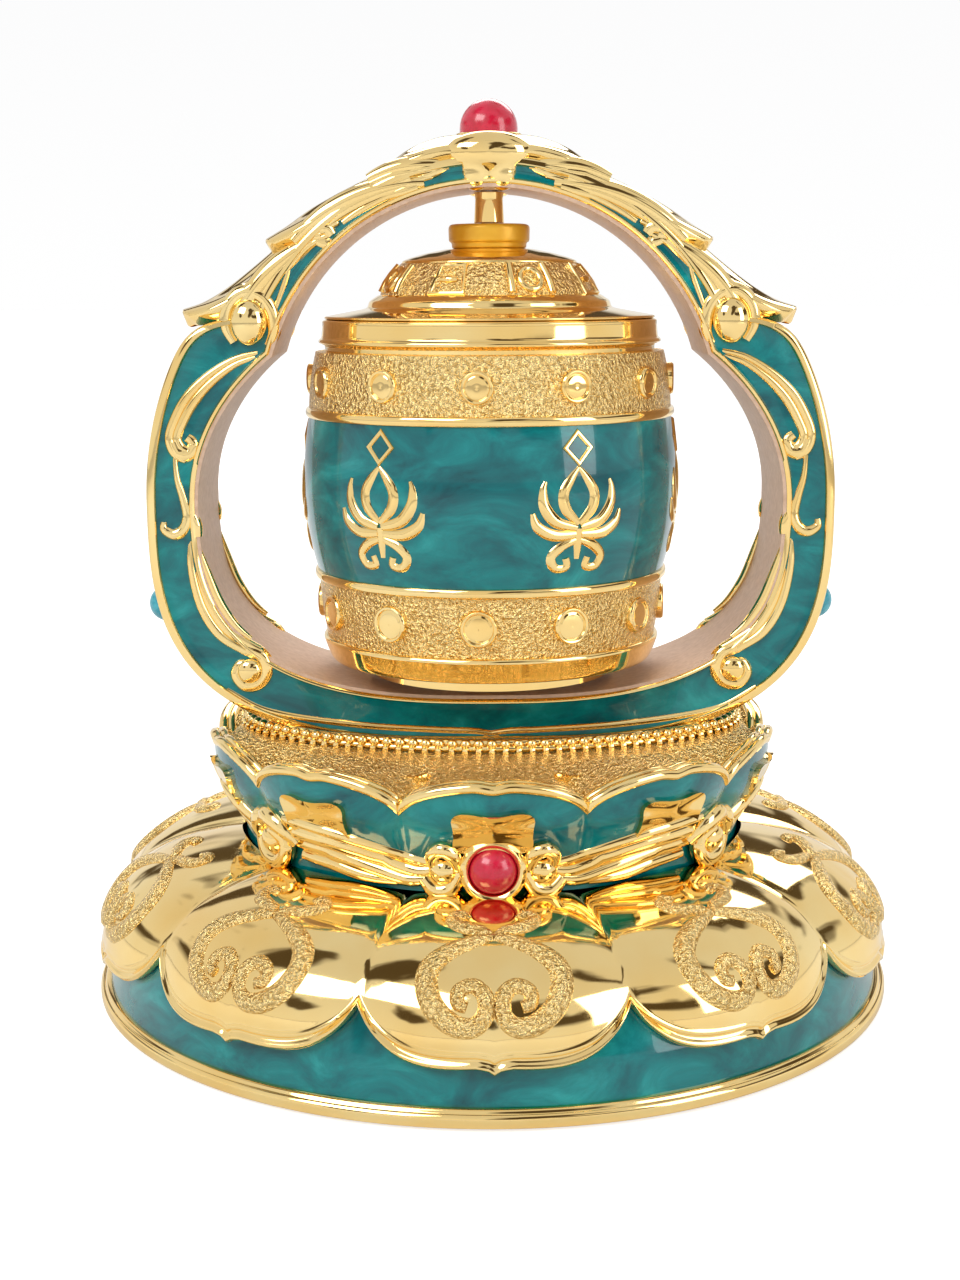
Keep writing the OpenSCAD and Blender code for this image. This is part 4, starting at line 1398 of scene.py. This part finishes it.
def make_drum_rings():
    top = COLLAR_HIGH.z
    turned("collar_ring", [(BORE, COLLAR_LOW.z - 0.2), (COLLAR_R - 0.75, COLLAR_LOW.z - 0.2),
                           (COLLAR_R - 0.75, COLLAR_LOW.z + 0.75), (COLLAR_R, COLLAR_LOW.z + 0.95),
                           (COLLAR_R, COLLAR_LOW.z + 1.35), (COLLAR_R - 0.35, COLLAR_LOW.z + 1.6),
                           (COLLAR_R - 0.5, top - 0.5), (COLLAR_R - 0.45, top - 0.2),
                           (COLLAR_R - 0.8, top), (BORE, top)],
           "drum", "polished_gold", ["drum_collar"], 0.3)
    upper = heights(UPPER_LOW.z - 0.1, UPPER_HIGH.z + 0.05, 14)
    drum_band("upper_stippled_band", [(upper_radius(z), z) for z in upper],
              "stippled_gold", "upper_band")
    lower = heights(LOWER_LOW.z - 0.1, LOWER_HIGH.z + 0.1, 14)
    drum_band("lower_stippled_band", [(lower_radius(z), z) for z in lower],
              "stippled_gold", "lower_band")
    drum_band("drum_enamel", [(enamel_radius(z), z) for z in heights(BAND_LO, BAND_HI, 20)],
              "teal_enamel", "enamel_band")
    edge_trim("upper_edge_trim", BAND_HI + 0.3, enamel_radius(BAND_HI), "upper_trim")
    edge_trim("lower_edge_trim", BAND_LO - 0.3, enamel_radius(BAND_LO), "lower_trim")
    low, high = RING_LOW.z, RING_HIGH.z
    turned("drum_foot_ring", [(BORE, low), (19.0, low), (19.35, low + 0.5), (19.75, low + 1.5),
                              (20.0, low + 2.2), (20.15, high - 0.4), (19.9, high), (BORE, high)],
           "drum", "polished_gold", ["foot_ring"], 0.3)


make_drum_rings()

# %% [markdown]
# A stud is a low polished dish inside a rounded rim. Twelve of them sit on each stippled band.

# %% Studs
DRUM_TURN = -4              # degrees, how the drum stands at rest
STUDS = 12
UPPER_STUD_Z, LOWER_STUD_Z = 73.2, 46.7


def stud_row(name, z, radius, size, node):
    section = [(AXIS, -1.2), (size, -1.2), (size, 0.3), (size - 0.16, 0.52), (size - 0.42, 0.46),
               (size - 0.5, 0.26), (size * 0.62, 0.37), (size * 0.3, 0.40), (AXIS, 0.41)]
    seats = [facing(DRUM_TURN + k * 360 / STUDS, radius, z) for k in range(STUDS)]
    finish_piece(name, placed_turnings(section, 44, seats, 0.06), "drum", "polished_gold", [node])


stud_row("upper_stud_row", UPPER_STUD_Z, upper_radius(UPPER_STUD_Z), 1.85, "upper_studs")
stud_row("lower_stud_row", LOWER_STUD_Z, lower_radius(LOWER_STUD_Z), 2.1, "lower_studs")

# %% [markdown]
# Six raised ornaments stand on the enamel, each under a small lozenge. On a real wheel this is
# where a written prayer goes. Here it is a plain lotus bud between two curls, which says nothing.

# %% Ornaments on the enamel band
def drum_place(base):
    def surface(x, z):
        radius = enamel_radius(max(BAND_LO, min(BAND_HI, z)))
        return polar(base + math.degrees(x / DRUM_R), radius, z)
    return on(surface)


ORNAMENTS = 6
BUD_Z = 54.0
BUD_TALL = 0.86
LOZENGE_Z = 66.6
# Half of the bud and its curls, then the stem: (x, z, half width) from the foot of the bud
BUD = [
    [(0, 5.0, 0.5), (1.6, 6.9, 0.85), (1.9, 8.9, 0.85), (1.05, 10.7, 0.7), (0, 12.2, 0.3)],
    [(0.2, 4.5, 0.6), (2.7, 5.3, 0.9), (4.1, 7.3, 0.9), (4.3, 9.3, 0.6), (4.0, 10.6, 0.25)],
    [(0.3, 3.6, 0.6), (3.0, 3.6, 0.9), (4.9, 4.8, 0.8), (5.5, 6.6, 0.35)],
    [(0.2, 2.9, 0.5), (2.0, 2.1, 0.75), (3.2, 0.7, 0.75), (2.6, -0.7, 0.7), (1.2, -0.6, 0.6),
     (1.4, 0.6, 0.55)],
]
BUD_STEM = [(0, 4.4, 0.7), (0, 2.2, 0.65), (0, 0.4, 0.4)]


def bud_line(line, side):
    return [(side * x, BUD_Z + z * BUD_TALL, w) for x, z, w in smooth_line(line, 6)]


def make_ornaments():
    strokes, frames = Strokes(3, 0.62), Strokes(3, 0.3)
    for k in range(ORNAMENTS):
        place = drum_place(DRUM_TURN + (k + 0.5) * 360 / ORNAMENTS)
        for line in BUD:
            for side in (-1, 1):
                strokes.lay(bud_line(line, side), place)
        strokes.lay(bud_line(BUD_STEM, 1), place)
        corners = [(0, 1.7), (1.6, 0), (0, -1.7), (-1.6, 0)]
        frames.lay([(x, LOZENGE_Z + z, 0.42) for x, z in corners], place, True)
    finish_piece("lotus_bud_ornaments", strokes.to_bmesh(), "drum", "polished_gold",
                 ["drum_ornaments"])
    finish_piece("lozenge_frames", frames.to_bmesh(), "drum", "polished_gold", ["drum_lozenges"])


make_ornaments()

# %% [markdown]
# The cap steps in over the drum: a sloped flange, a smooth ring, a stippled cone with raised
# marks, and a shoulder under the hub. The hub is the one piece with a softer, waxy gold.

# %% Cap and hub
CAP_LOW, CAP_HIGH = size_of("drum_cap")
HUB_LOW, HUB_HIGH = size_of("cap_hub")
BUSH_R = size_of("upper_bush")[1].x
CONE_R = 12.8               # radius of the cone's foot
CONE_IN = 2.55              # how much narrower it is at its top
CONE_TALL = 3.75
CONE_LIFT = 2.6             # height of its foot over the underside of the cap
CAP_MARKS = 8


def cone_radius(up):
    return CONE_R - CONE_IN * (max(0.0, up) / CONE_TALL) ** 1.5


def make_cap():
    bore = BUSH_R + 0.8
    base = CAP_LOW.z
    turned("cap_flange", [(13.0, base), (19.35, base), (19.4, base + 0.3), (14.7, base + 1.15),
                          (14.3, base + 1.3), (14.1, base + 2.0), (13.2, base + 2.6),
                          (12.9, base + 2.75), (11.9, base + 2.6), (11.9, base + 0.8)],
           "drum", "polished_gold", ["drum_cap"], 0.25)
    cone = [(cone_radius(CONE_TALL * i / 12), base + CONE_LIFT + CONE_TALL * i / 12)
            for i in range(13)]
    section = [(11.0, base + 2.3)] + cone + [(9.0, base + 6.2)]
    finish_piece("cap_cone", spin_section(section, 192), "drum", "stippled_gold")
    top = CAP_HIGH.z
    turned("cap_shoulder", [(bore, top - 1.6), (9.4, base + 5.6), (10.25, base + 6.25),
                            (10.2, base + 6.6), (9.3, base + 6.95), (7.6, top - 0.55),
                            (5.4, top - 0.1), (4.6, top), (bore, top)],
           "drum", "polished_gold", [], 0.3)


def make_hub():
    low, high = HUB_LOW.z, HUB_HIGH.z
    hub = turned("waxy_hub", [(BUSH_R, low), (4.35, low), (4.35, low + 0.65), (4.7, low + 0.8),
                              (4.75, high - 0.3), (4.4, high), (BUSH_R, high)],
                 "drum", "polished_gold", ["cap_hub"], 0.35, 96)
    hub.data.materials[0] = WAXY


def framed_panel(strokes, a, place):
    panel = [(-9, 0.3), (9, 0.3), (8, 3.4), (-8, 3.4)]
    strokes.lay([(a + x, up, 0.36) for x, up in panel], place, True)
    strokes.lay([(a + x, 1.85, 0.5 - abs(x) * 0.05) for x in (-5, -2.5, 0, 2.5, 5)], place)


def small_ring(strokes, a, place):
    turns = [i * TAU / 20 for i in range(20)]
    strokes.lay([(a + 6 * math.cos(t), 1.9 + 1.15 * math.sin(t), 0.42) for t in turns],
                place, True)
    for side in (-11, 11):
        strokes.lay([(a + side, up, 0.5) for up in (0.4, 1.4, 2.4, 3.4)], place)


def cap_marks():
    """Raised marks round the cone: a framed panel and a small ring, turn about."""
    base = CAP_LOW.z
    place = on(lambda a, up: polar(a, cone_radius(up), base + CONE_LIFT + up))
    strokes = Strokes(3, 0.0)
    for k in range(CAP_MARKS):
        mark = framed_panel if k % 2 else small_ring
        mark(strokes, (k + 0.5) * 360 / CAP_MARKS, place)
    finish_piece("cap_relief", strokes.to_bmesh(), "drum", "polished_gold", ["cap_ornaments"])


make_cap()
make_hub()
cap_marks()
turned("spindle_sleeve", [(1.02, HUB_HIGH.z + 0.12), (1.75, HUB_HIGH.z + 0.12),
                          (1.6, OPEN_TOP - 1.0), (1.75, OPEN_TOP - 0.15),
                          (1.02, OPEN_TOP - 0.15)],
       "stand", "polished_gold", ["top_spacer"], 0.1, 48)

# %% Sizes, printed
def write_sizes():
    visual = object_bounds()
    plain = lambda box: [[round(v, 6) for v in corner] for corner in box]
    {"cad": plain(cad_bounds), "visual": plain(visual)}
    print("cad", plain(cad_bounds), "visual", plain(visual))


write_sizes()
